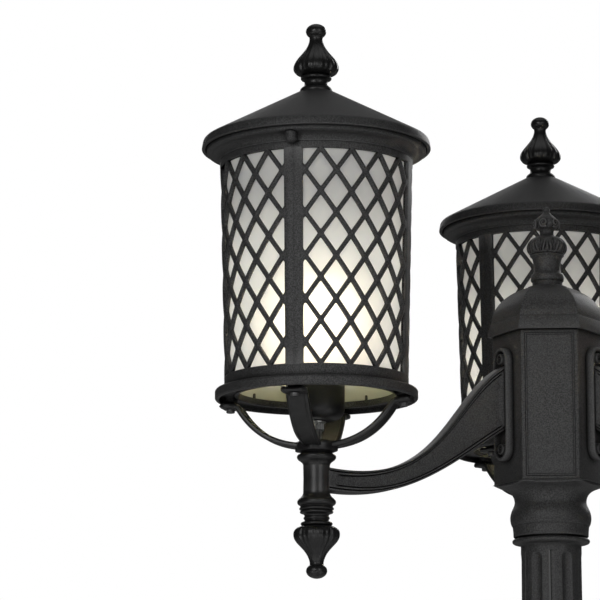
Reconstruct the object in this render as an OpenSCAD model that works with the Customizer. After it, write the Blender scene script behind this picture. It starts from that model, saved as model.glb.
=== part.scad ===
// Three-arm garden lamp post: hexagonal pedestal, fluted shaft, hexagonal hub and three lattice lanterns.
// Millimetres, +Z up, origin on the ground at the middle of the base. The front face looks along -Y.

/* [Overall] */
// Height of the lantern finial tips above the ground
total_h = 2250; // [2100:10:2500]
// Distance from the post axis to the axis of each lantern
arm_reach = 268; // [258:1:285]

/* [Lantern] */
// Outer radius of the roof skirt
roof_r = 115; // [113:0.5:118]
// Outer radius of the cage at its top edge
cage_top_r = 96.5; // [95:0.5:98]
// Outer radius of the cage at its foot
cage_foot_r = 91; // [90:0.5:92.5]
// Wall thickness of the cage
cage_wall = 4.5; // [4:0.5:6]
// Height of the lattice window
lattice_h = 212; // [200:1:220]
// Diamonds in the height of the window
lattice_rows = 5; // [4:1:6]
// Diamond columns between two straps, counting whole and half steps
lattice_cols = 9; // [7:2:11]
// Width of a lattice bar
bar_w = 4.5; // [3.5:0.5:6]
// Half the angle that a strap covers
strap_half = 5.7; // [5:0.1:7]

/* [Arm] */
// Width of the arm casting
arm_w = 20; // [18:1:24]
// Height of the flange that bolts to the hub
flange_h = 116; // [110:1:120]
// Width of that flange
flange_w = 26; // [24:1:30]

/* [Hub] */
// Corner radius of the hexagonal hub body
hub_r = 57.5; // [56:0.5:60]
// Height of the hub body
hub_h = 154; // [150:1:158]
// Corner radius of the dome's rim
dome_r = 62.5; // [61:0.5:66]

/* [Shaft] */
// Shaft radius under the capital
shaft_top_r = 30.8; // [29:0.2:33]
// Shaft radius at its foot
shaft_foot_r = 36; // [34:0.5:38]
// Height of the shaft's foot above the ground
shaft_foot = 505; // [480:5:600]
// Number of flutes
flutes = 6; // [6:6:12]

/* [Base] */
// Corner radius of the base plate
plate_r = 165; // [160:1:180]
// Thickness of the base plate
plate_t = 16; // [12:1:20]
// Pitch circle diameter of the anchor holes
anchor_pcd = 280; // [270:1:300]
// Radius of an anchor hole
anchor_hole_r = 7; // [6:0.5:8]
// Radius of the cable entry
entry_r = 30; // [20:1:35]
// Corner radius of the pedestal
pedestal_r = 96; // [94:0.5:98]
// Height of the pedestal's top face
pedestal_h = 420; // [400:5:450]

/* [Hidden] */
SIDES = ["left", "right", "rear"];
ARM_ANGLE = [210, 330, 90];
// How far each lantern head was turned on its stem when it was screwed down
HEAD_TURN = [4.2, 3.7, 3.1];
LANTERN_PARTS = ["finial", "roof", "crown", "cage", "diffuser", "bulb", "lampholder", "base_ring",
    "spider", "upper_collar", "lower_collar", "drop_finial", "arm"];
POST_PARTS = ["stem_tubes", "roof_screws", "bracket_screws", "arm_screws", "set_screws", "wiring", "hub_body",
    "hub_dome", "hub_finial", "hub_terminal", "capital", "shaft", "shaft_socket", "socket_bolts",
    "pedestal_cap", "pedestal", "base_plate", "access_door", "door_pin", "door_lock", "fuse_block"];
$fn = 64;
eps = 0.05;

IRON = [0.09, 0.09, 0.1];
BARE = [0.62, 0.62, 0.6];
FROST = [0.93, 0.94, 0.9];

// Lantern heights, from the underside of the roof skirt
finial_seat = 60.3;
skirt_t = 8.5;
crown_top = 3;
crown_low = -12;
window_top = -19;
window_low = window_top - lattice_h;
cage_foot = window_low - 12.5;
ring_low = cage_foot - 10;
spider_top = ring_low - 41;
spider_low = spider_top - 11.5;
eye_top = spider_low - 13;
eye_low = eye_top - 25;
eye_mid = (eye_top + eye_low) / 2;
drop_seat = eye_low - 15;
seat_gap = 0.02;
finial_h = 71;
rim_z = total_h - finial_seat - finial_h;

// Lantern radii
eye_r = 13.2;
tube_r = 5;
tube_bore = 3.4;
crown_r = roof_r - 5;
knob_at = crown_r - 6;
knob_r = 5.8;
knob_shank = 2.5;
foot_at = 88;
cup_r = 28;
holder_low = ring_low - 20.5;
holder_top = cage_foot + 15;
cap_r = 13.2;
cap_run = 0.08;
bulb_r = 30;

// Hub heights, from the same datum as the lanterns
hub_top = -168.5;
hub_low = hub_top - hub_h;
hub_mid = hub_low + 80;
hub_wall = 6;
flange_t = 9;
screw_gap = 46.3;
band_h = 14;
dome_h = 40.5;
apothem = hub_r * cos(30);
capital_h = 53.5;
shaft_top = hub_low - capital_h - 1.3;
ring_t = 6;

// Pedestal
wall = 6;
face = pedestal_r * cos(30);
door_w = 67;
door_h = 175;
door_mid = 235;
door_gap = 0.5;
door_t = 4;
lip = 4;
pin_r = 2;
knuckle_r = 4;
hinge_x = -37;
hinge_y = -face - 4.5;
knuckle_h = 34;
lock_x = 24;
lock_r = 6;
cam_h = 12;
socket_r = 78;
bolt_at = 66;
plinth_low_r = 122;
plinth_low_h = 44;
plinth_top_r = 112;
plinth_top_h = 58;
cornice_r = 104;
cornice_top_r = 100;
cap_t = 24;
cap_step = 8;
cable_r = 4;
lead_r = 1.5;
sweep_sides = 8;

function bezier(p, n) = [for (i = [0:n]) let(t = i / n)
    pow(1 - t, 3) * p[0] + 3 * pow(1 - t, 2) * t * p[1] + 3 * (1 - t) * t * t * p[2] + pow(t, 3) * p[3]];
function bezier_at(p, t) =
    pow(1 - t, 3) * p[0] + 3 * pow(1 - t, 2) * t * p[1] + 3 * (1 - t) * t * t * p[2] + pow(t, 3) * p[3];
function oval(c, rx, rz, a0, a1, n) = [for (i = [0:n]) let(a = a0 + (a1 - a0) * i / n)
    [c[0] + rx * cos(a), c[1] + rz * sin(a)]];
function reversed(list) = [for (i = [len(list) - 1:-1:0]) list[i]];
function unit(v) = v / norm(v);

// Puts a lantern part, made about its own axis with +X away from the post, on arm i
module at_lantern(i) rotate([0, 0, ARM_ANGLE[i]]) translate([arm_reach, 0, rim_z]) children();
// Puts a part of a lantern's head on arm i, turned with the head
module at_head(i) at_lantern(i) rotate([0, 0, HEAD_TURN[i]]) children();
// Puts an arm part, made along +X from the post axis, on arm i
module at_arm(i) rotate([0, 0, ARM_ANGLE[i]]) translate([0, 0, rim_z]) children();
module at_straps() for (k = [0:3]) rotate([0, 0, 45 + 90 * k]) children();
module at_knobs() for (a = [45, 225]) rotate([0, 0, a]) translate([knob_at, 0, 0]) children();
module hexagon(r, low, high) translate([0, 0, low]) cylinder(r = r, h = high - low, $fn = 6);
module rod(r, low, high) translate([0, 0, low]) cylinder(r = r, h = high - low);
module lathe(points) rotate_extrude() polygon(points);

// ---- finials -------------------------------------------------------------------------------------

function finial_outline() = concat(
    [[0, 0], [16.4, 0]],
    bezier([[16.4, 1.5], [11.4, 3.5], [11.4, 10], [13.4, 12.2]], 8),
    oval([13.3, 14.4], 2.3, 2.2, -70, 70, 6),
    bezier([[13, 17], [20, 17.6], [23.3, 20.5], [23, 25.5]], 6),
    bezier([[23, 25.5], [22.5, 35], [8.5, 41], [6.8, 54.5]], 10),
    oval([0, 63.2], 10.4, 7.8, -49, 90, 10));

module finial() color(IRON) translate([0, 0, finial_seat]) {
    lathe(finial_outline());
    rod(3, -8, 1);
}

module drop_finial() color(IRON) difference() {
    translate([0, 0, drop_seat]) mirror([0, 0, 1]) lathe(finial_outline());
    rod(tube_r, drop_seat - 12, drop_seat + eps);
}

function hub_finial_outline() = concat(
    [[0, 0], [15.4, 0], [15.4, 4.7]],
    bezier([[16.2, 4.9], [17.5, 5.4], [17.3, 10.6], [16.2, 12.3]], 5),
    bezier([[15.2, 13], [13.8, 14.6], [13.2, 19], [14.3, 25]], 6),
    oval([16.4, 32.2], 1.2, 1, -80, 80, 4),
    bezier([[17.2, 33.3], [22.2, 36], [22.2, 45], [16.2, 49.6]], 8),
    bezier([[16.2, 49.6], [13.4, 51.6], [9.6, 51.6], [8.2, 53]], 5),
    bezier([[8.2, 53], [6.8, 55], [6.8, 58], [8.4, 60]], 5),
    bezier([[8.4, 60], [11.5, 61.2], [12.8, 63.6], [12.8, 66.2]], 5),
    bezier([[12.8, 66.2], [12.7, 69.5], [10, 72], [3.4, 78.4]], 6),
    oval([0, 80.6], 3.9, 3.6, -32, 90, 6));

module hub_finial() color(IRON) translate([0, 0, rim_z + hub_top + band_h + dome_h - 1.5]) {
    lathe(hub_finial_outline());
    rod(4, -6, 1);
}

// ---- lantern -------------------------------------------------------------------------------------

module roof() color(IRON) difference() {
    lathe([[0, finial_seat], [17, finial_seat], [roof_r - 2.5, skirt_t + 1], [roof_r, skirt_t - 1],
        [roof_r, 0], [crown_r + 1, 0], [crown_r + 1, crown_top], [97, crown_top], [95, 11],
        [17, finial_seat - 7], [0, finial_seat - 7]]);
    rod(3, finial_seat - 10, finial_seat + eps);
    at_knobs() rod(knob_shank + 0.08, crown_top - eps, 10.5);
}

module crown() color(IRON) difference() {
    lathe(concat([[91, crown_top], [crown_r, crown_top], [crown_r, -5]],
        [for (a = [0:10:90]) [106 - (106 - cage_top_r) * sin(a), crown_low + 7 * cos(a)]],
        [[91, crown_low]]));
    at_knobs() {
        rod(knob_shank, crown_low, crown_top + eps);
        rod(knob_r + 0.6, crown_low - 5, -5);
    }
}

// The gap between crossing bars, widened from its own middle; cut is how far it runs before a strap
// edge stops it, and halves says whether its upper and lower halves are open
function gap(hw, hh, cut, upper, lower) = let(
        v = hh * (1 - cut / hw),
        up = upper ? concat([[0, hh], [-cut, v]]) : [],
        down = lower ? [[-cut, -v], [0, -hh]] : [])
    cut < hw ? concat([[hw, 0]], up, upper && lower ? [] : [[-cut, 0]], down)
             : concat([[hw, 0]], upper ? [[0, hh]] : [], [[-hw, 0]], lower ? [[0, -hh]] : []);

module lattice_gaps() {
    step = (90 - 14) / (lattice_cols - 1);
    mid_r = (cage_top_r + cage_foot_r) / 2;
    level = lattice_h / lattice_rows;
    bar_angle = atan(level / 2 / (mid_r * sin(step)));
    hw = mid_r * sin(step) - bar_w / 2 / sin(bar_angle);
    hh = level / 2 - bar_w / 2 / cos(bar_angle);
    edge = mid_r * sin(7 - strap_half);
    at_straps() for (j = [0:lattice_cols - 1]) rotate([0, 0, 7 + step * j]) {
        odd = j % 2;
        side = j == lattice_cols - 1 ? -1 : 1;
        cut = j == 0 || j == lattice_cols - 1 ? edge : hw;
        for (k = [0:lattice_rows - odd])
            translate([mid_r - 12, 0, window_low + level * (k + odd / 2)])
                rotate([90, 0, 90]) mirror([side < 0 ? 1 : 0, 0, 0]) linear_extrude(24)
                    polygon(gap(hw, hh, cut, odd == 1 || k < lattice_rows, odd == 1 || k > 0));
    }
}

module cage() color(IRON) difference() {
    lathe([[cage_top_r, crown_low], [cage_foot_r, cage_foot],
        [cage_foot_r - cage_wall, cage_foot], [cage_top_r - cage_wall, crown_low]]);
    lattice_gaps();
}

module diffuser() color(FROST)
    lathe([[83, cage_foot], [85, cage_foot], [90, crown_top - 1], [88, crown_top - 1]]);

module bulb() color(FROST) translate([0, 0, holder_top - 23.5]) lathe(concat(
    [[0, 0], [5, 0], [9, 3], [cap_r, 5], [cap_r, 26], [15, 27]],
    bezier([[15, 27], [17, 46], [bulb_r, 58], [bulb_r, 82]], 10),
    oval([0, 82], bulb_r, bulb_r, 6, 90, 12)));

module lampholder() color(IRON) difference() {
    lathe(concat([[0, holder_low]], bezier([[14, holder_low], [22, holder_low], [cup_r, holder_low + 5],
        [cup_r, holder_low + 14]], 8), [[cup_r, holder_top], [cup_r - 2.5, holder_top],
        [cup_r - 2.5, holder_top - 29], [17, holder_top - 29], [17, holder_top - 1],
        [cap_r + cap_run, holder_top - 1], [cap_r + cap_run, holder_top - 25], [0, holder_top - 25]]));
    rod(tube_r, holder_low - eps, holder_low + 10);
    rod(2, holder_low + 8, holder_top);
}

module base_ring() color(IRON) difference() {
    union() {
        lathe([[78, cage_foot], [99, cage_foot], [100.5, cage_foot - 1.5], [100.5, ring_low + 1.5],
            [99, ring_low], [96.5, ring_low], [96.5, cage_foot - 4], [81, cage_foot - 4],
            [81, cage_foot - 6.5], [78, cage_foot - 6.5]]);
        at_straps() translate([foot_at, 0, 0]) rod(7, ring_low, cage_foot - 3);
    }
    at_straps() translate([foot_at, 0, 0]) rod(2, ring_low - eps, ring_low + 6);
}

// Centre line of a spider strap, from the collar out to its foot under the base ring
function strap_line() = concat(
    bezier([[12, spider_low + 7], [48, spider_low + 8.5], [66, ring_low - 24.5], [76, ring_low - 9.5]], 12),
    bezier([[78, ring_low - 6.2], [80, ring_low - 3.6], [84, ring_low - 3], [95, ring_low - 3]], 6));

module spider() color(IRON) difference() {
    line = strap_line();
    last = len(line) - 1;
    side = [for (i = [0:last]) let(d = unit(line[min(i + 1, last)] - line[max(i - 1, 0)])) [-d[1], d[0]] * 3];
    union() {
        rod(20, spider_low, spider_top);
        at_straps() rotate([90, 0, 0]) linear_extrude(22, center = true)
            polygon(concat([for (i = [0:last]) line[i] + side[i]],
                reversed([for (i = [0:last]) line[i] - side[i]])));
    }
    rod(tube_r, spider_low - 5, spider_top + 5);
    at_straps() translate([foot_at, 0, 0]) {
        rod(2.1, ring_low - 10, ring_low + 1);
        rod(4.3, ring_low - 14, ring_low - 6);
    }
}

// The three stem tubes, each with a side hole where its lead comes in from the arm
module stem_tubes() color(BARE) for (i = [0:2]) at_lantern(i) difference() {
    rod(tube_r, drop_seat - 11, holder_low + 10);
    rod(tube_bore, drop_seat - 12, holder_low + 11);
    translate([-10, 0, eye_mid + 0.8]) rotate([0, 90, 0]) cylinder(r = tube_bore, h = 10);
}

module upper_collar() color(IRON) difference() {
    lathe(concat([[0, spider_low - seat_gap], [15, spider_low - seat_gap]],
        oval([15.4, spider_low - 4.3], 4, 4.2, 80, -80, 8),
        bezier([[14.5, spider_low - 9], [13.2, spider_low - 9.6], [12.6, eye_top + 2], [eye_r, eye_top]], 5),
        [[0, eye_top]]));
    rod(tube_r, eye_top - 1, spider_low + 1);
}

module lower_collar() color(IRON) difference() {
    lathe(concat([[0, eye_low], [eye_r, eye_low]],
        bezier([[12.2, eye_low - 2], [12, eye_low - 4], [12.6, eye_low - 6], [14.6, eye_low - 7]], 5),
        oval([15.2, eye_low - 11], 4, 3.8, 78, -78, 8), [[0, drop_seat]]));
    rod(tube_r, drop_seat - 1, eye_low + 1);
}

// ---- arm -----------------------------------------------------------------------------------------

function arm_top() = [[arm_reach - 8, eye_mid + 11.5], [122.5, eye_mid - 4.5], [118.5, hub_mid + 6.5],
    [apothem + 4, hub_mid + 40]];
function arm_under() = [[arm_reach - 8, eye_mid - 12], [165.5, eye_mid - 22], [112.5, hub_mid - 59],
    [apothem + 4, hub_mid - 25.5]];
// A point between the underside (f = 0) and the top (f = 1) at t along the arm from the lantern
function arm_point(t, f) = bezier_at(arm_under(), t) * (1 - f) + bezier_at(arm_top(), t) * f;

module arm_strip(t0, t1, f0, f1, width, n = 24) rotate([90, 0, 0]) linear_extrude(width, center = true)
    polygon(concat([for (i = [0:n]) arm_point(t0 + (t1 - t0) * i / n, f0)],
        [for (i = [n:-1:0]) arm_point(t0 + (t1 - t0) * i / n, f1)]));

module arm() color(IRON) difference() {
    union() {
        arm_strip(0, 1, 0, 1, arm_w);
        translate([arm_reach, 0, 0]) rod(eye_r, eye_low, eye_top);
        translate([apothem, 0, hub_mid]) rotate([0, 90, 0]) {
            for (s = [-1, 1]) translate([s * (flange_h - flange_w) / 2, 0, 0])
                cylinder(r = flange_w / 2, h = flange_t);
            translate([-(flange_h - flange_w) / 2, -flange_w / 2, 0])
                cube([flange_h - flange_w, flange_w, flange_t]);
        }
    }
    for (s = [-1, 1]) translate([0, s * (arm_w / 2), 0]) arm_strip(0.07, 0.93, 0.2, 0.8, 3);
    arm_strip(-0.04, 1.08, 0.36, 0.64, 8);
    translate([arm_reach, 0, 0]) rod(tube_r, eye_low - 1, eye_top + 1);
    translate([arm_reach, 0, eye_mid]) rotate([-90, 0, 0]) cylinder(r = 3, h = 20);
    for (s = [-1, 1]) translate([apothem - 1, 0, hub_mid + s * screw_gap]) rotate([0, 90, 0]) {
        cylinder(r = 3, h = 20);
        translate([0, 0, 5]) cylinder(r = 6.2, h = 20);
    }
}

// ---- fasteners -----------------------------------------------------------------------------------

module roof_screws() color(IRON) for (i = [0:2]) at_head(i) at_knobs() {
    rod(knob_r, -15, -5);
    rod(knob_shank, -6, crown_top + 7);
}

module bracket_screws() color(IRON) for (i = [0:2]) at_head(i) at_straps() translate([foot_at, 0, 0]) {
    rod(4, ring_low - 9.5, ring_low - 6);
    rod(2, ring_low - 7, ring_low + 5.5);
}

module arm_screws() color(IRON) for (i = [0:2]) at_arm(i) for (s = [-1, 1])
    translate([apothem, 0, hub_mid + s * screw_gap]) rotate([0, 90, 0]) {
        difference() {
            translate([0, 0, 4]) cylinder(r = 5.5, h = 4.5);
            translate([0, 0, 6]) cylinder(r = 2.9, h = 5, $fn = 6);
        }
        translate([0, 0, -hub_wall]) cylinder(r = 2.45, h = hub_wall + 5);
    }

module set_screws() color(IRON) for (i = [0:2]) at_lantern(i)
    translate([0, tube_r, eye_mid]) rotate([-90, 0, 0]) cylinder(r = 3, h = 10.8);

module socket_bolts() color(IRON) at_socket_bolts() {
    rod(5, pedestal_h + 8, pedestal_h + 13);
    rod(3, pedestal_h - 8, pedestal_h + 9);
}

// ---- hub -----------------------------------------------------------------------------------------

module hub_body() color(IRON) translate([0, 0, rim_z]) difference() {
    hexagon(hub_r, hub_low, hub_top);
    hexagon(hub_r - hub_wall / cos(30), hub_low + hub_wall, hub_top + 1);
    for (a = ARM_ANGLE) {
        rotate([0, 0, a + 60]) translate([apothem - 1.2, -24, hub_low + 9]) cube([5, 48, hub_h - 13]);
        rotate([0, 0, a]) translate([apothem - 10, 0, hub_mid]) rotate([0, 90, 0]) {
            translate([-(bezier_at(arm_top(), 1)[1] + bezier_at(arm_under(), 1)[1]) / 2 + hub_mid, 0, 0])
                cylinder(r = 5, h = 20);
            for (s = [-1, 1]) translate([s * screw_gap, 0, 0]) cylinder(r = 2.5, h = 20);
        }
    }
    translate([0, -22, 0]) rod(6, hub_low - 1, hub_low + hub_wall + 1);
}

// One pair of opposite dome facets, as a long extrusion
module dome_pair(a, inset) {
    w = dome_r * cos(30) - 3.6 - inset;
    rise = dome_h - inset;
    rotate([90, 0, a]) linear_extrude(200, center = true)
        polygon(concat(oval([0, hub_top + band_h], w, rise, 0, 180, 32), [[-w, hub_top], [w, hub_top]]));
}

module dome_solid(inset) intersection() {
    dome_pair(0, inset);
    dome_pair(60, inset);
    dome_pair(120, inset);
    hexagon(200, hub_top - 1, hub_top + band_h + dome_h - 1.5 - inset);
}

module hub_dome() color(IRON) translate([0, 0, rim_z]) difference() {
    union() {
        dome_solid(0);
        hexagon(dome_r, hub_top, hub_top + band_h - 2);
        hexagon(dome_r - 1.6, hub_top + band_h - 3, hub_top + band_h);
    }
    translate([0, 0, -eps]) dome_solid(5);
    rod(4, hub_top + band_h, hub_top + band_h + dome_h + 1);
}

module hub_terminal() color(FROST) translate([0, 0, rim_z]) difference() {
    translate([-17, -7, hub_low + hub_wall]) cube([34, 14, 26]);
    for (x = [-11, 0, 11]) translate([x, 0, hub_low + hub_wall + 16]) rotate([90, 0, 0])
        cylinder(r = 2, h = 8);
}

// The turned neck under the hub; its cove flares out and is trimmed to the hub's hexagon
module capital() color(IRON) translate([0, 0, rim_z + hub_low]) difference() {
    flare = hub_r - 0.6;
    intersection() {
        lathe(concat([[0, 0], [flare, 0], [flare, -0.8]],
            bezier([[flare, -0.8], [44, -4], [36.6, -8], [36.6, -18.2]], 10),
            bezier([[36.9, -20], [38.2, -24], [41.3, -28], [41.3, -35]], 6),
            bezier([[41.3, -35], [41.3, -42], [38.4, -46], [38.2, -capital_h]], 6),
            [[0, -capital_h]]));
        hexagon(flare, -capital_h, 0);
    }
    rod(28, -capital_h - 1, 1);
}

// ---- shaft and base ------------------------------------------------------------------------------

// A flute: a round-ended groove that leans with the taper of the shaft
module flute() {
    groove_r = 8;
    out = 4.9;
    low = shaft_foot + 40;
    high = rim_z + shaft_top - 22;
    run = high - low;
    lean = atan((shaft_foot_r - shaft_top_r) / (rim_z + shaft_top - shaft_foot));
    translate([shaft_top_r + out + 22 * tan(lean), 0, high]) rotate([0, -lean, 0]) {
        sphere(r = groove_r);
        rod(groove_r, -run, 0);
        translate([0, 0, -run]) sphere(r = groove_r);
    }
}

module shaft() color(IRON) difference() {
    union() {
        translate([0, 0, shaft_foot])
            cylinder(r1 = shaft_foot_r, r2 = shaft_top_r, h = rim_z + shaft_top - shaft_foot);
        rod(39.4, rim_z + shaft_top - ring_t, rim_z + shaft_top);
        rod(35, rim_z + shaft_top - 1, rim_z + hub_low - capital_h);
        rod(31, shaft_foot - 35, shaft_foot + 1);
    }
    rod(22, shaft_foot - 40, total_h);
    for (k = [0:flutes - 1]) rotate([0, 0, 360 / flutes * k]) flute();
}

module shaft_socket() color(IRON) difference() {
    lathe(concat([[0, pedestal_h], [socket_r, pedestal_h], [socket_r, pedestal_h + 8]],
        bezier([[58, pedestal_h + 8], [57, pedestal_h + 42], [43, pedestal_h + 38],
            [42, shaft_foot - 14]], 14),
        oval([42.5, shaft_foot - 7], 6, 7, -85, 85, 10), [[0, shaft_foot]]));
    rod(31, shaft_foot - 35, shaft_foot + 1);
    rod(22, pedestal_h - 1, shaft_foot);
    at_socket_bolts() rod(3.2, pedestal_h - 1, pedestal_h + 9);
}

// The hinge knuckle between two heights, with a web that reaches towards the pedestal face
module knuckle(low, high, bore, web_x) difference() {
    union() {
        translate([hinge_x, hinge_y, 0]) rod(knuckle_r, low, high);
        translate([min(hinge_x, hinge_x + web_x), hinge_y + 0.5, low])
            cube([abs(web_x), 3.7, high - low]);
    }
    translate([hinge_x, hinge_y, 0]) rod(bore, low - 1, high + 1);
}

// The hole pattern of the bolts that hold the shaft socket down
module at_socket_bolts() for (k = [0:5]) rotate([0, 0, 30 + 60 * k]) translate([bolt_at, 0, 0]) children();

module base_plate() color(IRON) difference() {
    hexagon(plate_r, 0, plate_t);
    for (k = [0:5]) rotate([0, 0, 60 * k]) translate([anchor_pcd / 2, 0, 0])
        rod(anchor_hole_r, -1, plate_t + 1);
    rod(entry_r, -1, plate_t + 1);
}

module pedestal() color(IRON) difference() {
    union() {
        hexagon(plinth_low_r, plate_t, plinth_low_h);
        hexagon(plinth_top_r, plinth_low_h, plinth_top_h);
        hexagon(pedestal_r, plinth_top_h, pedestal_h - cap_t);
        for (s = [-1, 1]) translate([0, 0, door_mid + s * (knuckle_h + 1)]) {
            knuckle(-knuckle_h / 2, knuckle_h / 2, pin_r, -7);
            translate([hinge_x - 7, hinge_y + 0.5, -knuckle_h / 2]) cube([6, 5, knuckle_h]);
        }
    }
    hexagon(pedestal_r - wall / cos(30), plate_t - 1, pedestal_h);
    for (a = [30:60:330]) if (a != 270) rotate([0, 0, a])
        translate([face - 1.5, -35, plinth_top_h + 20]) cube([5, 70, pedestal_h - cap_t - plinth_top_h - 40]);
    translate([-door_w / 2 - door_gap, -face - 1, door_mid - door_h / 2 - door_gap])
        cube([door_w + 2 * door_gap, door_t + 1, door_h + 2 * door_gap]);
    translate([-door_w / 2 + lip - door_gap, -face - 1, door_mid - door_h / 2 + lip])
        cube([door_w - 2 * lip + 2 * door_gap, 20, door_h - 2 * lip]);
    translate([hinge_x, hinge_y, 0]) rod(pin_r, door_mid - 2 * knuckle_h, door_mid + 2 * knuckle_h);
}

module pedestal_cap() color(IRON) difference() {
    union() {
        hexagon(cornice_r, pedestal_h - cap_t, pedestal_h - cap_step);
        hexagon(cornice_top_r, pedestal_h - cap_step, pedestal_h);
    }
    hexagon(pedestal_r - wall / cos(30), pedestal_h - cap_t - 1, pedestal_h - 10);
    rod(22, pedestal_h - 12, pedestal_h + 1);
    at_socket_bolts() rod(3, pedestal_h - 12, pedestal_h + 1);
}

module access_door() color(IRON) difference() {
    union() {
        translate([-door_w / 2, -face, door_mid - door_h / 2]) cube([door_w, door_t, door_h]);
        translate([0, 0, door_mid]) knuckle(-knuckle_h / 2 + 0.5, knuckle_h / 2 - 0.5, pin_r + 0.05, 12);
        translate([hinge_x + 5, hinge_y + 0.5, door_mid - knuckle_h / 2 + 0.5])
            cube([7, 5, knuckle_h - 1]);
    }
    translate([lock_x, 0, door_mid]) rotate([90, 0, 0]) cylinder(r = lock_r + 0.05, h = face + 5);
}

module door_pin() color(BARE) translate([hinge_x, hinge_y, door_mid]) {
    rod(pin_r, -1.5 * knuckle_h - 3, 1.5 * knuckle_h + 1);
    rod(3.2, 1.5 * knuckle_h + 1, 1.5 * knuckle_h + 3);
}

// The lock in its open position, with the cam hanging straight down
module door_lock() color(BARE) translate([lock_x, 0, door_mid]) difference() {
    union() {
        translate([0, -face + wall + 0.5, 0]) rotate([90, 0, 0]) cylinder(r = lock_r, h = wall + 1);
        translate([0, -face - 0.5, 0]) rotate([90, 0, 0]) cylinder(r = lock_r + 2, h = 1.5);
        translate([-4, -face + wall + 0.5, -cam_h]) cube([8, 2, cam_h + 4]);
    }
    translate([0, -face, 0]) rotate([90, 0, 0]) cylinder(r = 3.4, h = 5, $fn = 3);
}

module fuse_block() color(FROST) difference() {
    translate([-24, face - wall - 30, 240]) cube([48, 30, 90]);
    for (x = [-12, 0, 12]) translate([x, face - wall - 31, 316]) rotate([-90, 0, 0]) cylinder(r = 2.5, h = 6);
}

// ---- wiring --------------------------------------------------------------------------------------

// Frame for a ring of the sweep: two unit vectors square to the route, steady along a route in a plane
function across(d, flat) = unit(cross(d, flat));

// A round tube of radius r along points p; flat is a vector square to the plane of the route
module sweep(p, r, flat) {
    last = len(p) - 1;
    rings = [for (i = [0:last]) let(
        d = unit(p[min(i + 1, last)] - p[max(i - 1, 0)]),
        u = across(d, flat),
        w = cross(d, u))
        for (k = [0:sweep_sides - 1]) let(a = 360 * k / sweep_sides) p[i] + r * (u * cos(a) + w * sin(a))];
    sides = [for (i = [0:last - 1]) for (k = [0:sweep_sides - 1]) let(
        a = i * sweep_sides + k,
        b = i * sweep_sides + (k + 1) % sweep_sides)
        [a, b, b + sweep_sides, a + sweep_sides]];
    polyhedron(rings, concat(sides, [[for (k = [sweep_sides - 1:-1:0]) k],
        [for (k = [0:sweep_sides - 1]) last * sweep_sides + k]]), convexity = 8);
}

// A lamp lead in the plane of its arm: up out of the terminal, along the arm and up the stem
module lead() {
    hole_z = arm_point(1, 0.5)[1];
    start = hub_low + hub_wall + 26;
    route = concat(
        bezier([[9, start], [9, hole_z - 14], [14, hole_z], [34, hole_z]], 6),
        [for (t = [1:-0.125:0.125]) arm_point(t, 0.5)],
        bezier([[arm_reach - 12, eye_mid], [arm_reach - 3, eye_mid], [arm_reach, eye_mid + 3],
            [arm_reach, eye_mid + 12]], 4),
        [[arm_reach, holder_low + 9]]);
    sweep([for (q = route) [q[0], 0, q[1]]], lead_r, [0, 1, 0]);
}

module wiring() color(BARE) {
    for (i = [0:2]) at_arm(i) lead();
    top = rim_z + hub_low + hub_wall;
    sweep(concat(
        bezier([[0, 62, 330], [0, 62, 385], [0, 4, 360], [0, 0, 430]], 8),
        bezier([[0, 0, 520], [0, 0, 1000], [0, 0, 1500], [0, 0, rim_z + shaft_top - 60]], 4),
        bezier([[0, 0, rim_z + shaft_top - 40], [0, 0, top - 30], [0, -22, top - 40], [0, -22, top - 8]], 6),
        bezier([[0, -22, top], [0, -22, top + 10], [0, -20, top + 15], [0, -7, top + 15]], 5)),
        cable_r, [1, 0, 0]);
}

for (i = [0:2]) {
    at_head(i) finial();
    at_head(i) roof();
    at_head(i) crown();
    at_head(i) cage();
    at_head(i) diffuser();
    at_lantern(i) bulb();
    at_lantern(i) lampholder();
    at_head(i) base_ring();
    at_head(i) spider();
    at_lantern(i) upper_collar();
    at_lantern(i) lower_collar();
    at_lantern(i) drop_finial();
    at_arm(i) arm();
}
stem_tubes();
roof_screws();
bracket_screws();
arm_screws();
set_screws();
wiring();
hub_body();
hub_dome();
hub_finial();
hub_terminal();
capital();
shaft();
shaft_socket();
socket_bolts();
pedestal_cap();
pedestal();
base_plate();
access_door();
door_pin();
door_lock();
fuse_block();
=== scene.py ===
"""Looks of a three-arm garden lamp post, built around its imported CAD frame.

Pieces are made in millimetres about their own axis and scaled to metres as they become meshes.
Lantern heights are measured from the underside of the roof skirt, as in the CAD source.
"""
import math

import bmesh
import bpy
from mathutils import Matrix, Vector


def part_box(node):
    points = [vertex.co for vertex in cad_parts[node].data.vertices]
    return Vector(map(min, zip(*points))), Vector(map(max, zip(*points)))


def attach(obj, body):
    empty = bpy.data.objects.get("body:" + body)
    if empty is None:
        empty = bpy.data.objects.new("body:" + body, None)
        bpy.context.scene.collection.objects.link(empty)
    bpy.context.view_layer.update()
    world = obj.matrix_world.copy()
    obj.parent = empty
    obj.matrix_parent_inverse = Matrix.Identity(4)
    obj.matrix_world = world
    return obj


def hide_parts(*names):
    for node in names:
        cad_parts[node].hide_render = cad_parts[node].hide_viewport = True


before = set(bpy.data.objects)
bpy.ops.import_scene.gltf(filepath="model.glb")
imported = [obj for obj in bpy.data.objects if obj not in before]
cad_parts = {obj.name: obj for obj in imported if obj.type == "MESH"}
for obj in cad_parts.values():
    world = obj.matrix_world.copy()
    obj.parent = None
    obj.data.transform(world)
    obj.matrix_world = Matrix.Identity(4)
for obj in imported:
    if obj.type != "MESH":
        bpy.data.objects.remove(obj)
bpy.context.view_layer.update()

MM = 0.001
TURN = 2 * math.pi
SIXTH = TURN / 6
SIDES = ("left", "right", "rear")


def middle(node):
    """Middle of a CAD node's box, in metres."""
    low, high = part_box(node)
    return (low + high) / 2


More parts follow.
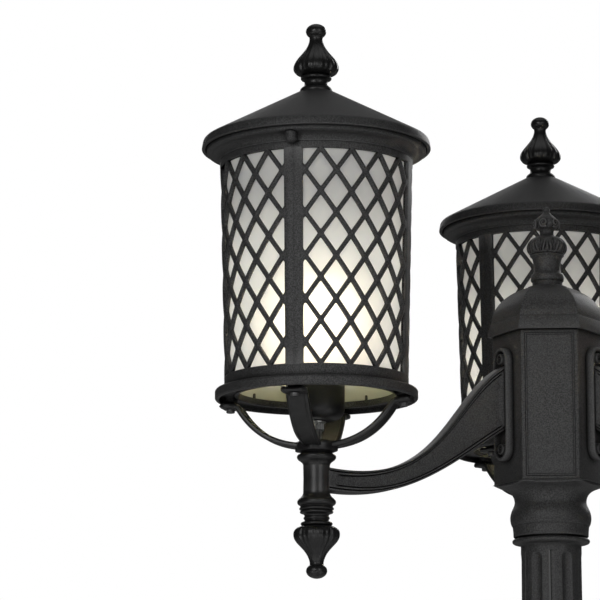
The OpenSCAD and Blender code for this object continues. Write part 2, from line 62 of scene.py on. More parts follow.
# ---- driving dimensions, in millimetres ----

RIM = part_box("roof_left")[0].z / MM
REACH = math.hypot(*middle("bulb_left").xy) / MM
ROOF_R = 115
SKIRT_H = 8.5
FINIAL_SEAT = 60.3
CROWN_R = ROOF_R - 5
CROWN_TOP = 3
CROWN_LOW = -12
COVE_R = 106
CAGE_TOP_R = 96.5
CAGE_FOOT_R = 91
CAGE_WALL = 4.5
WINDOW_TOP = -19
WINDOW_LOW = -231
LATTICE_ROWS = 5
LATTICE_COLS = 9
BAR_W = 4.5
STRAP_HALF = 5.7
FIRST_COLUMN = 7
CAGE_FOOT = WINDOW_LOW - 12.5
RING_LOW = CAGE_FOOT - 10
RING_R = 100.5
SPIDER_TOP = RING_LOW - 41
SPIDER_LOW = SPIDER_TOP - 11.5
EYE_TOP = SPIDER_LOW - 13
EYE_LOW = EYE_TOP - 25
EYE_MID = (EYE_TOP + EYE_LOW) / 2
EYE_R = 13.2
DROP_SEAT = EYE_LOW - 15
KNOB_AT = CROWN_R - 6
FOOT_AT = 88
CUP_R = 28
HOLDER_LOW = RING_LOW - 20.5
HOLDER_TOP = CAGE_FOOT + 15
BULB_LOW = HOLDER_TOP - 23.5
BULB_R = 30
BULB_MID = 82
HUB_R = 57.5
HUB_H = 154
HUB_TOP = -168.5
HUB_LOW = HUB_TOP - HUB_H
HUB_MID = HUB_LOW + 80
APOTHEM = HUB_R * math.cos(math.radians(30))
DOME_R = 62.5
DOME_H = 40.5
BAND_H = 14
FLANGE_H = 116
FLANGE_W = 26
FLANGE_T = 9
SCREW_GAP = 46.3
CAPITAL_H = 53.5
SHAFT_TOP = HUB_LOW - CAPITAL_H - 1.3
SHAFT_TOP_R = 30.8
SHAFT_FOOT_R = 36
SHAFT_FOOT = 505
FLUTES = 6
# How far each lantern head is turned on its stem, and where its two roof knobs stand, in degrees
HEAD_TURN = {"left": 4.2, "right": 3.7, "rear": 3.1}
STRAP_ANGLES = (45, 135, 225, 315)
KNOB_ANGLES = (45, 225)

# ---- outlines ----


def bezier(points, steps):
    """Points along a cubic curve."""
    def at(t):
        weights = ((1 - t) ** 3, 3 * (1 - t) ** 2 * t, 3 * (1 - t) * t * t, t ** 3)
        return Vector([sum(w * p[axis] for w, p in zip(weights, points)) for axis in (0, 1)])
    return [at(i / steps) for i in range(steps + 1)]


def oval(cx, cz, rx, rz, start, end, steps):
    """Points along an ellipse between two angles in degrees."""
    angles = [math.radians(start + (end - start) * i / steps) for i in range(steps + 1)]
    return [Vector((cx + rx * math.cos(a), cz + rz * math.sin(a))) for a in angles]


def soften(outline, radius, steps=3, closed=False):
    """The outline with its corners rounded; a third number in a point is its own radius."""
    result = []
    last = len(outline) - 1
    for i, corner in enumerate(outline):
        here = Vector(corner[:2])
        own = corner[2] if len(corner) > 2 else radius
        if own == 0 or (not closed and i in (0, last)):
            result.append(here)
            continue
        back = Vector(outline[i - 1][:2]) - here
        ahead = Vector(outline[(i + 1) % (last + 1)][:2]) - here
        start = here + back.normalized() * min(own, back.length * 0.45)
        end = here + ahead.normalized() * min(own, ahead.length * 0.45)
        for k in range(steps + 1):
            t = k / steps
            result.append(start.lerp(here, t).lerp(here.lerp(end, t), t))
    return result


def smooth_step(value, low, high):
    """0 below low, 1 above high, and an easy curve between them."""
    t = min(1, max(0, (value - low) / (high - low)))
    return t * t * (3 - 2 * t)


# ---- mesh building ----


def bridge(bm, low, high):
    """Joins two loops of vertices with faces; a loop of one vertex is a pole."""
    for k in range(max(len(low), len(high))):
        corners = []
        for loop, step in ((low, k), (low, k + 1), (high, k + 1), (high, k)):
            vert = loop[step % len(loop)]
            if vert not in corners:
                corners.append(vert)
        if len(corners) > 2:
            bm.faces.new(corners)


def lathe(bm, outline, segments=96, shape=None, closed=False, at=None):
    """Turns an outline of (radius, height) about Z. shape(angle, radius, height) gives the
    angle and radius of a point that isn't round; at is a matrix that places the turned piece."""
    rings = []
    for radius, height in outline:
        around = 1 if radius < 1e-6 else segments
        ring = []
        for k in range(around):
            angle, reach = TURN * k / segments, radius
            if shape and around > 1:
                angle, reach = shape(angle, radius, height)
            spot = Vector((reach * math.cos(angle), reach * math.sin(angle), height))
            ring.append(bm.verts.new(at @ spot if at else spot))
        rings.append(ring)
    for low, high in zip(rings, rings[1:]):
        bridge(bm, low, high)
    if closed:
        bridge(bm, rings[-1], rings[0])


def loft(bm, sections):
    """Joins closed loops of 3D points into one skin, with its two ends capped."""
    loops = [[bm.verts.new(p) for p in section] for section in sections]
    for low, high in zip(loops, loops[1:]):
        bridge(bm, low, high)
    bm.faces.new(loops[0])
    bm.faces.new(loops[-1])


def sharp_edges(bm, angle):
    return [e for e in bm.edges if len(e.link_faces) == 2 and e.calc_face_angle() > math.radians(angle)]


def bevel(bm, edges, width, segments=2):
    """Rounds some edges."""
    bmesh.ops.bevel(bm, geom=edges, offset=width, segments=segments, profile=0.5, affect="EDGES",
                    clamp_overlap=True)


def to_mesh(bm, name, skin, sharp=38, flat_area=None):
    """A finished mesh in metres with a skin, shaded smooth except across its sharp edges and, if an
    area is given, round the faces larger than that."""
    bmesh.ops.remove_doubles(bm, verts=bm.verts, dist=1e-3)
    bmesh.ops.recalc_face_normals(bm, faces=bm.faces)
    bmesh.ops.scale(bm, vec=(MM, MM, MM), verts=bm.verts)
    mesh = bpy.data.meshes.new(name)
    bm.to_mesh(mesh)
    bm.free()
    mesh.polygons.foreach_set("use_smooth", [True] * len(mesh.polygons))
    mesh.set_sharp_from_angle(angle=math.radians(sharp))
    for face in mesh.polygons:
        if flat_area and face.area > flat_area:
            for loop in face.loop_indices:
                mesh.edges[mesh.loops[loop].edge_index].use_edge_sharp = True
    mesh.materials.append(SKINS[skin])
    return mesh


def turned(name, outline, skin, segments=96, sharp=38, **options):
    """The mesh that one turned outline makes."""
    bm = bmesh.new()
    lathe(bm, outline, segments, **options)
    return to_mesh(bm, name, skin, sharp)


def put(name, mesh, body="post", place=None, stands_for=()):
    """A piece of that mesh, which rides on a body and stands for CAD nodes. It is turned in its
    mesh and only moved as an object, so that its box stays square to the frame."""
    spot = Matrix()
    if place:
        mesh = mesh.copy()
        mesh.transform(place.to_3x3().to_4x4())
        spot = Matrix.Translation(place.translation)
    piece = bpy.data.objects.new(name, mesh)
    bpy.context.scene.collection.objects.link(piece)
    piece.matrix_world = spot
    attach(piece, body)
    if stands_for:
        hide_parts(*stands_for)
    return piece


def bearing(side):
    """Direction of an arm, seen from above."""
    spot = middle(f"bulb_{side}")
    return math.atan2(spot.y, spot.x)


def lantern_place(side, turn="head"):
    """Matrix that puts a piece on a lantern's axis, turned with its head, with its arm or square
    to the post."""
    spot = middle(f"bulb_{side}")
    angle = {"head": bearing(side) + math.radians(HEAD_TURN[side]), "arm": bearing(side), "square": 0}[turn]
    return Matrix.Translation((spot.x, spot.y, RIM * MM)) @ Matrix.Rotation(angle, 4, "Z")


def lantern_place_mm(side, turn="head"):
    """The same in millimetres, for pieces that lie on several lanterns."""
    place = lantern_place(side, turn)
    return Matrix.Translation(place.translation / MM) @ place.to_3x3().to_4x4()


def arm_place(side):
    """Matrix that puts a piece made along +X on an arm."""
    return Matrix.Translation((0, 0, RIM * MM)) @ Matrix.Rotation(bearing(side), 4, "Z")


def hub_place():
    return Matrix.Translation((0, 0, RIM * MM))


def raised(height):
    return Matrix.Translation((0, 0, height))


def put_node(mesh, body="post", place=None):
    """A piece that stands for the CAD node its mesh is named after, whose own mesh may have taken
    the name, so that a number follows it."""
    node = mesh.name.split(".")[0]
    put(f"{node}_detailed", mesh, body, place, [node])


def on_lanterns(part, mesh, body="post", turn="head"):
    """The same part on each of the three lanterns."""
    return [put(f"{part}_{side}_detailed", mesh, body.format(side), lantern_place(side, turn),
                [f"{part}_{side}"]) for side in SIDES]


def turns(angles):
    """Matrices that turn a piece about Z by each of some angles in degrees."""
    return [Matrix.Rotation(math.radians(angle), 4, "Z") for angle in angles]


# ---- materials ----


class Shader:
    """A material under construction. add() makes a node, sets or links its inputs by name or
    number, and returns one of its outputs."""

    def __init__(self, slot, name=None):
        self.material = bpy.data.materials.new(name or slot)
        self.material["slot"] = slot
        self.material.use_nodes = True
        self.tree = self.material.node_tree
        self.surface = self.tree.nodes["Principled BSDF"]
        self.where = self.add("TexCoord", output="Object")

    def connect(self, node, inputs):
        for name, value in inputs.items():
            if isinstance(value, bpy.types.NodeSocket):
                self.tree.links.new(value, node.inputs[name])
            else:
                node.inputs[name].default_value = value

    def add(self, kind, inputs=None, output=0, **settings):
        node = self.tree.nodes.new("ShaderNode" + kind)
        for name, value in settings.items():
            setattr(node, name, value)
        self.connect(node, inputs or {})
        return node.outputs[output]

    def noise(self, scale, detail=2, roughness=0.5):
        return self.add("TexNoise", {"Vector": self.where, "Scale": scale, "Detail": detail,
                                     "Roughness": roughness})

    def span(self, value, low, high, to_low=0.0, to_high=1.0):
        return self.add("MapRange", {"Value": value, "From Min": low, "From Max": high,
                                     "To Min": to_low, "To Max": to_high})

    def mix(self, factor, a, b):
        return self.add("Mix", {0: factor, 6: a, 7: b}, output=2, data_type="RGBA")

    def bump(self, height, strength, distance):
        return self.add("Bump", {"Height": height, "Strength": strength, "Distance": distance})

    def facing_up(self):
        normal = self.add("NewGeometry", output="Normal")
        return self.add("SeparateXYZ", {0: normal}, output="Z")

    # Mask of sharp edges, used for edge wear and for painted highlights
    def edge_wear_and_highlight(self, low=0.53, high=0.62):
        return self.span(self.add("NewGeometry", output="Pointiness"), low, high)

    def ao_for_painted_shade(self, reach):
        """1 on open surfaces, falling towards 0 in grooves and corners, where it paints shade."""
        return self.add("AmbientOcclusion", {"Distance": reach}, output="AO", samples=6)

    def finish(self, **inputs):
        self.connect(self.surface, {k.replace("_", " "): v for k, v in inputs.items()})
        return self.material


def grey(value, tint=0.0):
    """A near-neutral colour, tinted slightly blue."""
    return (value, value, value * (1 + tint), 1)


def powder_coat(name="powder_coat", painted_edge_highlight=True):
    """Fine-textured satin paint: a millimetre-sized orange peel with a little dust on top, a painted
    highlight on its edges and painted shade in its grooves and corners."""
    s = Shader("powder_coat", name)
    speck = s.noise(780, 3, 0.8)
    cloud = s.noise(14, 4)
    # Painted shade: ambient occlusion that darkens the paint and dulls its reflection in grooves and corners
    free_of_painted_shade = s.span(s.ao_for_painted_shade(0.007), 0.35, 0.92)
    paint = s.mix(s.span(speck, 0.42, 0.6), grey(0.006, 0.01), grey(0.066, 0.01))
    paint = s.mix(s.span(cloud, 0.35, 0.75, 0, 0.3), paint, grey(0.036, 0.01))
    paint = s.mix(s.span(s.facing_up(), 0.5, 1, 0, 0.12), paint, grey(0.06))
    # Painted highlight: lighter paint on sharp edges
    if painted_edge_highlight:
        paint = s.mix(s.edge_wear_and_highlight(), paint, grey(0.14))
    # Painted shade: near-black paint in grooves and corners
    paint = s.mix(free_of_painted_shade, grey(0.002), paint)
    rough = s.span(speck, 0.35, 0.65, 0.42, 0.62)
    # The reflection is dulled in grooves and corners too, as painted shade
    return s.finish(Base_Color=paint, Roughness=rough, Normal=s.bump(speck, 0.5, 0.0006),
                    Specular_IOR_Level=s.span(free_of_painted_shade, 0, 1, 0.08, 0.5))


def plain_powder_coat():
    """The same paint without its painted edge highlight, for large flat faces, whose coarse mesh would smear
    it.
    """
    return powder_coat("plain_powder_coat", painted_edge_highlight=False)


def smooth_black():
    """Semi-gloss enamel over smooth castings, with the faint unevenness of a sand mould."""
    s = Shader("smooth_black")
    grain = s.noise(900, 2)
    wave = s.noise(120, 3)
    paint = s.mix(s.span(wave, 0.35, 0.7), grey(0.006), grey(0.013, 0.02))
    # Painted highlight: lighter paint on sharp edges
    paint = s.mix(s.edge_wear_and_highlight(0.54, 0.66), paint, grey(0.05))
    # Painted shade: ambient occlusion that dulls the reflection in hollows
    free_of_painted_shade = s.span(s.ao_for_painted_shade(0.006), 0.3, 0.9)
    rough = s.span(wave, 0.3, 0.7, 0.30, 0.42)
    ripple = s.bump(grain, 0.12, 0.0003)
    mould = s.add("Bump", {"Height": wave, "Strength": 0.15, "Distance": 0.0006, "Normal": ripple})
    return s.finish(Base_Color=paint, Roughness=rough, Normal=mould,
                    Specular_IOR_Level=s.span(free_of_painted_shade, 0, 1, 0.12, 0.5))


def holder_black():
    """Semi-matt black of the lamp cups."""
    s = Shader("holder_black")
    grain = s.noise(700, 2)
    paint = s.mix(s.span(grain, 0.35, 0.7), grey(0.004), grey(0.010))
    return s.finish(Base_Color=paint, Roughness=s.span(grain, 0.3, 0.7, 0.36, 0.5),
                    Normal=s.bump(grain, 0.2, 0.0003))


def black_fastener():
    """Blackened steel of screws and bolts, lighter on its edges from wear and a painted highlight."""
    s = Shader("black_fastener")
    grain = s.noise(1600, 3)
    paint = s.mix(s.span(grain, 0.4, 0.7), grey(0.014), grey(0.04))
    # Lighter on sharp edges: wear, with a painted highlight
    paint = s.mix(s.edge_wear_and_highlight(0.52, 0.6), paint, grey(0.2))
    return s.finish(Base_Color=paint, Metallic=0.4, Roughness=s.span(grain, 0.3, 0.7, 0.3, 0.48),
                    Normal=s.bump(grain, 0.15, 0.0002))


def zinc_steel():
    """Zinc plate: bright, with fine lengthwise brushing and duller clouds."""
    s = Shader("zinc_steel")
    stretched = s.add("Mapping", {"Vector": s.where, "Scale": (900, 900, 60)})
    brushed = s.add("TexNoise", {"Vector": stretched, "Scale": 1.0, "Detail": 2})
    cloud = s.noise(90, 3)
    metal = s.mix(s.span(cloud, 0.35, 0.7), (0.66, 0.66, 0.63, 1), (0.46, 0.47, 0.47, 1))
    return s.finish(Base_Color=metal, Metallic=1.0, Roughness=s.span(brushed, 0.3, 0.7, 0.22, 0.42),
                    Normal=s.bump(brushed, 0.08, 0.0002))


def insulator():
    """Cream moulded plastic with a slight mottle."""
    s = Shader("insulator")
    cloud = s.noise(160, 3)
    plastic = s.mix(s.span(cloud, 0.3, 0.7), (0.74, 0.72, 0.65, 1), (0.84, 0.82, 0.76, 1))
    return s.finish(Base_Color=plastic, Roughness=0.42, Normal=s.bump(s.noise(1500), 0.1, 0.0002))


def cable_sheath():
    """Black extruded sheath with a faint fine grain."""
    s = Shader("cable_sheath")
    grain = s.noise(1100, 2)
    rubber = s.mix(s.span(grain, 0.35, 0.7), grey(0.02), grey(0.045))
    return s.finish(Base_Color=rubber, Roughness=s.span(grain, 0.3, 0.7, 0.5, 0.65),
                    Normal=s.bump(grain, 0.15, 0.0002))


def frosted_diffuser():
    """Acid-frosted glass: it blurs the lamp behind it and carries a soft painted glow, emission that
    stands in for the lamp's light through the glass and is strongest at the lamp's height."""
    s = Shader("frosted_diffuser")
    dent = s.bump(s.noise(1500, 2), 0.15, 0.0002)
    tone = s.noise(25, 3)
    glass = s.mix(s.span(tone, 0.3, 0.7), (0.90, 0.91, 0.88, 1), (0.96, 0.96, 0.93, 1))
    s.finish(Base_Color=glass, Roughness=0.9, IOR=1.45, Transmission_Weight=1.0, Normal=dent,
             Specular_IOR_Level=0.3)
    # Painted glow: emission in place of the lamp's light through the glass, bright at the lamp's height and
    # grey above and below it
    height = s.add("SeparateXYZ", {0: s.where}, output="Z")
    lamp_at = (BULB_LOW + BULB_MID) * MM
    away = s.add("Math", {0: s.add("Math", {0: height, 1: lamp_at}, operation="SUBTRACT")},
                 operation="ABSOLUTE")
    near = s.add("MapRange", {"Value": away, "From Min": 0.12, "From Max": 0.04, "To Min": 0.0,
                              "To Max": 1.0}, interpolation_type="SMOOTHSTEP")
    # Colour of the painted glow
    tint = s.mix(near, (0.43, 0.435, 0.445, 1), (1.1, 1.095, 1.03, 1))
    glow = s.add("Emission", {"Color": tint, "Strength": 0.62})
    skin = s.add("BsdfDiffuse", {"Color": (0.5, 0.5, 0.49, 1), "Normal": dent})
    outside = s.add("AddShader", {0: glow, 1: skin})
    inside = s.add("BsdfDiffuse", {"Color": (0.062, 0.074, 0.052, 1), "Normal": dent})
    sideways = s.add("VectorMath", {0: s.where, 1: (1, 1, 0)}, operation="MULTIPLY")
    normal = s.add("NewGeometry", output="Normal")
    outward = s.add("VectorMath", {0: sideways, 1: normal}, output="Value", operation="DOT_PRODUCT")
    body = s.add("MixShader", {0: s.span(outward, -0.01, 0.01), 1: inside, 2: outside})
    both = s.add("MixShader", {0: 0.42, 1: s.surface.outputs[0], 2: body})
    s.connect(s.tree.nodes["Material Output"], {"Surface": both})
    return s.material


def opal_bulb():
    """Opal glass lit from within, a little dimmer towards its neck."""
    s = Shader("opal_bulb")
    height = s.add("SeparateXYZ", {0: s.where}, output="Z")
    lit = s.span(height, (BULB_LOW + 44) * MM, (BULB_LOW + 70) * MM, 0.04, 1.0)
    warm = s.mix(lit, (1.0, 0.70, 0.42, 1), (1.0, 0.84, 0.62, 1))
    power = s.add("Math", {0: lit, 1: 110.0}, operation="MULTIPLY")
    return s.finish(Base_Color=(0.9, 0.88, 0.82, 1), Roughness=s.span(s.noise(300), 0.3, 0.7, 0.3, 0.4),
                    Emission_Color=warm, Emission_Strength=power)


def floor_paint():
    """Plain pale studio floor with the faintest mottle. Like the backdrop, it looks brighter than the
    light it throws back, so that the castings keep their dark undersides."""
    s = Shader("floor")
    pale = s.mix(s.span(s.noise(3, 3), 0.3, 0.7), grey(0.78), grey(0.82))
    seen = s.add("LightPath", output="Is Camera Ray")
    return s.finish(Base_Color=pale, Roughness=0.6, Emission_Color=pale,
                    Emission_Strength=s.span(seen, 0, 1, 0.08, 0.6))


SKINS = {make.__name__: make() for make in (
    powder_coat, plain_powder_coat, smooth_black, holder_black, black_fastener, zinc_steel, insulator,
    cable_sheath, frosted_diffuser, opal_bulb)}


def dress_frame():
    """Gives every CAD node that still shows the procedural material of its slot."""
    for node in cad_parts.values():
        for slot in node.material_slots:
            slot.material = SKINS[slot.material.name.split(".")[0]]


# ---- camera, light and floor ----


FOCAL_LENGTH = 191.55
EYE = (-0.06887, -3.24892, 1.3731)
TILT_UP, PAN_LEFT = 10.768, 3.299


def add_camera():
    lens = bpy.data.cameras.new("camera")
    lens.lens = FOCAL_LENGTH
    lens.sensor_width = 36
    lens.clip_end = 50
    camera = bpy.data.objects.new("camera", lens)
    camera.location = EYE
    camera.rotation_euler = (math.radians(90 + TILT_UP), 0, math.radians(PAN_LEFT))
    bpy.context.scene.collection.objects.link(camera)
    bpy.context.scene.camera = camera


def add_soft_box(name, place, target, size, power):
    light = bpy.data.lights.new(name, "AREA")
    light.shape = "RECTANGLE"
    light.size, light.size_y = size
    light.energy = power
    lamp = bpy.data.objects.new(name, light)
    lamp.visible_camera = False
    lamp.location = place
    lamp.rotation_euler = (Vector(target) - Vector(place)).to_track_quat("-Z", "Y").to_euler()
    bpy.context.scene.collection.objects.link(lamp)


def add_studio():
    """Soft boxes near the camera, behind the post and at its base, and a white backdrop."""
    aim = (0, 0, 1.85)
    add_soft_box("key_left", (-0.9, -1.9, 2.3), aim, (0.9, 0.9), 9.5)
    add_soft_box("key_right", (1.0, -1.8, 2.2), aim, (0.9, 0.9), 6.5)
    add_soft_box("back_left", (-0.9, 2.9, 3.3), aim, (1.4, 1.2), 9)
    add_soft_box("back_right", (1.1, 2.8, 3.3), aim, (1.4, 1.2), 27)
    add_soft_box("overhead", (0, 0.2, 4.4), aim, (2.2, 2.2), 8)
    add_soft_box("low_fill", (0.3, -2.6, 0.7), aim, (1.6, 0.8), 6)
    add_soft_box("base_left", (-1.3, -1.3, 0.9), (0, 0, 0.25), (0.8, 0.8), 5)
    add_soft_box("base_right", (1.2, -1.0, 0.7), (0, 0, 0.25), (0.6, 0.6), 3)
    world = bpy.data.worlds.new("studio")
    world.use_nodes = True
    nodes, links = world.node_tree.nodes, world.node_tree.links
    seen = nodes.new("ShaderNodeLightPath")
    strength = nodes.new("ShaderNodeMapRange")
    strength.inputs["To Min"].default_value = 0.05
    strength.inputs["To Max"].default_value = 1.0
    links.new(seen.outputs["Is Camera Ray"], strength.inputs["Value"])
    links.new(strength.outputs[0], nodes["Background"].inputs["Strength"])
    nodes["Background"].inputs["Color"].default_value = (1, 1, 1, 1)
    bpy.context.scene.world = world
    bpy.context.scene.view_settings.view_transform = "Standard"


def add_floor():
    half = 9
    bm = bmesh.new()
    loft(bm, [[(x, y, z) for x, y in ((-half, -half), (half, -half), (half, half), (-half, half))]
              for z in (-0.02, 0)])
    bmesh.ops.recalc_face_normals(bm, faces=bm.faces)
    mesh = bpy.data.meshes.new("floor")
    bm.to_mesh(mesh)
    bm.free()
    mesh.materials.append(floor_paint())
    floor = bpy.data.objects.new("floor", mesh)
    bpy.context.scene.collection.objects.link(floor)


# ---- finials ----


def petals(bottom, top):
    """Shape of a bulb of four petals with five ribs each, which fade out towards its neck."""
    def shape(angle, radius, height):
        if not bottom < height < top:
            return angle, radius
        swell = smooth_step(height, bottom, bottom + 5) * (1 - 0.7 * smooth_step(height, bottom + 16, top))
        valley = abs(math.cos(2 * angle)) ** 0.6 - 1
        return angle, radius * (1 + swell * (0.11 * valley + 0.016 * (math.cos(20 * angle) - 1)))
    return shape


def finial_mesh():
    outline = [(0, 0), (16.2, 0)]
    outline += bezier([(16.5, 1.2), (16.2, 5), (11.6, 4.6), (11.8, 8.4)], 10)
    outline += bezier([(11.8, 9), (11.8, 11), (12.6, 11.6), (13.4, 12.2)], 4)
    outline += oval(13.3, 14.4, 2.3, 2.2, -70, 70, 9)
    outline += bezier([(13, 17), (20, 17.6), (23.3, 20.5), (23, 25.5)], 12)
    outline += bezier([(23, 25.5), (22.5, 35), (8.5, 41), (6.8, 54.5)], 24)[1:]
    outline += oval(0, 63.2, 10.4, 7.8, -49, 90, 16)
    outline[-1].x = 0
    return turned("finial", outline, "smooth_black", 200, 60, shape=petals(17, 54.5), at=raised(FINIAL_SEAT))


def drop_finial_mesh():
    outline = [(0, 0), (16.2, 0)]
    outline += oval(15.2, 2.3, 1.9, 1.6, -75, 75, 6)
    outline += oval(14.6, 5.6, 1.9, 1.5, -70, 60, 6)
    outline += bezier([(14.2, 7.2), (12.4, 7.8), (12, 8.6), (11.9, 9.6)], 4)
    outline += oval(11.4, 11.6, 1.5, 1.6, -70, 70, 6)
    outline += bezier([(11.8, 13.4), (11.8, 14.4), (12.6, 14.8), (13.6, 15.4)], 3)
    outline += oval(13.6, 17.2, 2.1, 1.9, -80, 75, 7)
    outline += bezier([(13, 19.4), (20, 20), (23.2, 23), (22.9, 27.8)], 12)
    outline += bezier([(22.9, 27.8), (23, 37.5), (9.2, 41), (6.8, 55.5)], 24)[1:]
    outline += oval(0, 63.4, 10.4, 7.6, -49, 90, 16)
    outline[-1].x = 0
    upside_down = raised(DROP_SEAT) @ Matrix.Scale(-1, 4, (0, 0, 1))
    return turned("drop_finial", outline, "smooth_black", 200, 60, shape=petals(19.4, 55.5), at=upside_down)


def add_finials():
    on_lanterns("finial", finial_mesh(), "roof_{}", "square")
    on_lanterns("drop_finial", drop_finial_mesh(), "post", "square")


# ---- roof and crown ----


def add_roofs():
    outline = soften([(0, FINIAL_SEAT), (17, FINIAL_SEAT, 2), (ROOF_R - 2.6, SKIRT_H + 1, 2),
                      (ROOF_R - 1.3, SKIRT_H - 0.9, 1.2), (ROOF_R, 0, 1.3), (CROWN_R + 1, 0, 0.6),
                      (CROWN_R + 1, CROWN_TOP, 0.4), (97, CROWN_TOP, 0.4), (95, 11, 1),
                      (17, FINIAL_SEAT - 7, 1), (0, FINIAL_SEAT - 7)], 1)
    on_lanterns("roof", turned("roof", outline, "powder_coat", 160), "roof_{}")


def add_crowns():
    cove = oval(COVE_R, CROWN_LOW, CAGE_TOP_R - COVE_R, 7, 90, 0, 10)
    outline = soften([(91, CROWN_TOP, 0.4), (CROWN_R, CROWN_TOP, 0.8), (CROWN_R, -3.4, 1.2),
                      (CROWN_R - 3, -4.6, 0.6)], 1) + cove + [(91, CROWN_LOW)]
    on_lanterns("crown", turned("crown", outline, "powder_coat", 160, closed=True))


# ---- cage ----

CAGE_MID_R = (CAGE_TOP_R + CAGE_FOOT_R) / 2
COLUMN_STEP = math.radians((90 - 2 * FIRST_COLUMN) / (LATTICE_COLS - 1))
LEVEL = (WINDOW_TOP - WINDOW_LOW) / LATTICE_ROWS
# How far the lattice runs in under a strap or a band
TUCK = 2.0
# Section of half a bar: share of the way from its crest to its side, and depth below the crest
BAR_SECTION = [(0, 0), (0.4, 0.1), (0.72, 0.5), (0.93, 1.1), (1, 1.9), (1, 3.9), (0.6, 4.4), (0, 4.5)]


def cage_radius(z):
    return CAGE_TOP_R + (CAGE_FOOT_R - CAGE_TOP_R) * (CROWN_LOW - z) / (CROWN_LOW - CAGE_FOOT)


def cage_point(across, z, depth):
    """A point of the cage from its distance across a quarter and its depth below the surface."""
    angle = across / CAGE_MID_R
    radius = cage_radius(z) - depth
    return radius * math.cos(angle), radius * math.sin(angle), z


def clip(polygon, axis, limit, sign):
    """The part of a polygon on one side of a line square to an axis."""
    kept = []
    for here, ahead in zip(polygon, polygon[1:] + polygon[:1]):
        near, far = sign * (here[axis] - limit), sign * (ahead[axis] - limit)
        if near >= 0:
            kept.append(here)
        if near * far < -1e-9:
            kept.append(here.lerp(ahead, near / (near - far)))
    return kept


def inset_loop(polygon, slant_gap):
    """Corners of the opening in a cell: slanted sides move in by half a bar, square ones by TUCK."""
    lines = []
    for here, ahead in zip(polygon, polygon[1:] + polygon[:1]):
        along = (ahead - here).normalized()
        inward = Vector((-along.y, along.x))
        lines.append((here + inward * (slant_gap if min(abs(along.x), abs(along.y)) > 0.05 else TUCK), along))
    corners = []
    for (p, d), (q, e) in zip(lines[-1:] + lines[:-1], lines):
        cross = d.x * e.y - d.y * e.x
        t = ((q - p).x * e.y - (q - p).y * e.x) / cross
        corners.append(p + d * t)
    return corners


def sample_loop(polygon, cut, rounded):
    """Evenly matched points round a polygon: five at each corner and three along each side."""
    points = []
    count = len(polygon)
    for i, here in enumerate(polygon):
        back, ahead = polygon[i - 1] - here, polygon[(i + 1) % count] - here
        start = here + back.normalized() * min(cut, back.length * 0.4)
        end = here + ahead.normalized() * min(cut, ahead.length * 0.4)
        for t in (0, 0.25, 0.5, 0.75, 1):
            if rounded:
                points.append(start.lerp(here, t).lerp(here.lerp(end, t), t))
            else:
                points.append(start.lerp(here, 2 * t) if t < 0.5 else here.lerp(end, 2 * t - 1))
        following = polygon[(i + 1) % count]
        side_end = following - ahead.normalized() * min(cut, ahead.length * 0.4)
        points += [end.lerp(side_end, t) for t in (0.25, 0.5, 0.75)]
    return points


def add_cell(bm, turn, polygon, open_gap, limits):
    """One cell of the lattice: its half bars all round, on the front and the back of the casting."""
    edge = sample_loop(polygon, 3, False)
    gap = sample_loop(inset_loop(polygon, BAR_W / 2), 1.7, True) if open_gap else edge
    rings = []
    for share, depth in BAR_SECTION if open_gap else (BAR_SECTION[0], BAR_SECTION[-1]):
        spots = [e.lerp(g, share) for e, g in zip(edge, gap)]
        rings.append([bm.verts.new(turn @ Vector(cage_point(p.x, p.y, depth))) for p in spots])
    if open_gap:
        for low, high in zip(rings, rings[1:]):
            bridge(bm, low, high)
    else:
        bm.faces.new(rings[0])
        bm.faces.new(rings[1])
    for k, here in enumerate(edge):
        n = (k + 1) % len(edge)
        for axis, limit in limits:
            if abs(here[axis] - limit) < 1e-4 and abs(edge[n][axis] - limit) < 1e-4:
                bm.faces.new([rings[0][k], rings[0][n], rings[-1][n], rings[-1][k]])


def add_lattice(bm):
    """The lattice of a cage: diamond cells between two straps, cut off under straps and bands."""
    half_w = COLUMN_STEP * CAGE_MID_R
    first = math.radians(FIRST_COLUMN) * CAGE_MID_R
    near = math.radians(STRAP_HALF) * CAGE_MID_R - TUCK
    far = math.radians(90) * CAGE_MID_R - near
    low, high = WINDOW_LOW - TUCK, WINDOW_TOP + TUCK
    limits = [(0, near), (0, far), (1, low), (1, high)]
    for turn in turns(STRAP_ANGLES):
        for column in range(-1, LATTICE_COLS + 1):
            for row in range(-1, LATTICE_ROWS + 1):
                x = first + half_w * column
                z = WINDOW_LOW + LEVEL * (row + (column % 2) / 2)
                cell = [Vector((x + half_w, z)), Vector((x, z + LEVEL / 2)),
                        Vector((x - half_w, z)), Vector((x, z - LEVEL / 2))]
                for axis, limit, sign in ((0, near, 1), (0, far, -1), (1, low, 1), (1, high, -1)):
                    cell = clip(cell, axis, limit, sign)
                inside = 0 <= column < LATTICE_COLS and WINDOW_LOW - 1 < z < WINDOW_TOP + 1
                if len(cell) > 2:
                    add_cell(bm, turn, cell, inside, limits)


def strap_section(z):
    """Section of a cage strap: soft edges and a shallow seam down its middle."""
    front = [(-1, 1.1), (-0.965, 0.35), (-0.88, -0.02), (-0.5, -0.1), (-0.05, -0.16), (0, 0.04)]
    front += [(-share, depth) for share, depth in reversed(front[:-1])]
    loop = front + [(1, CAGE_WALL - 0.3), (-1, CAGE_WALL - 0.3)]
    half = math.radians(STRAP_HALF) * CAGE_MID_R
    return [cage_point(share * half, z, depth) for share, depth in loop]


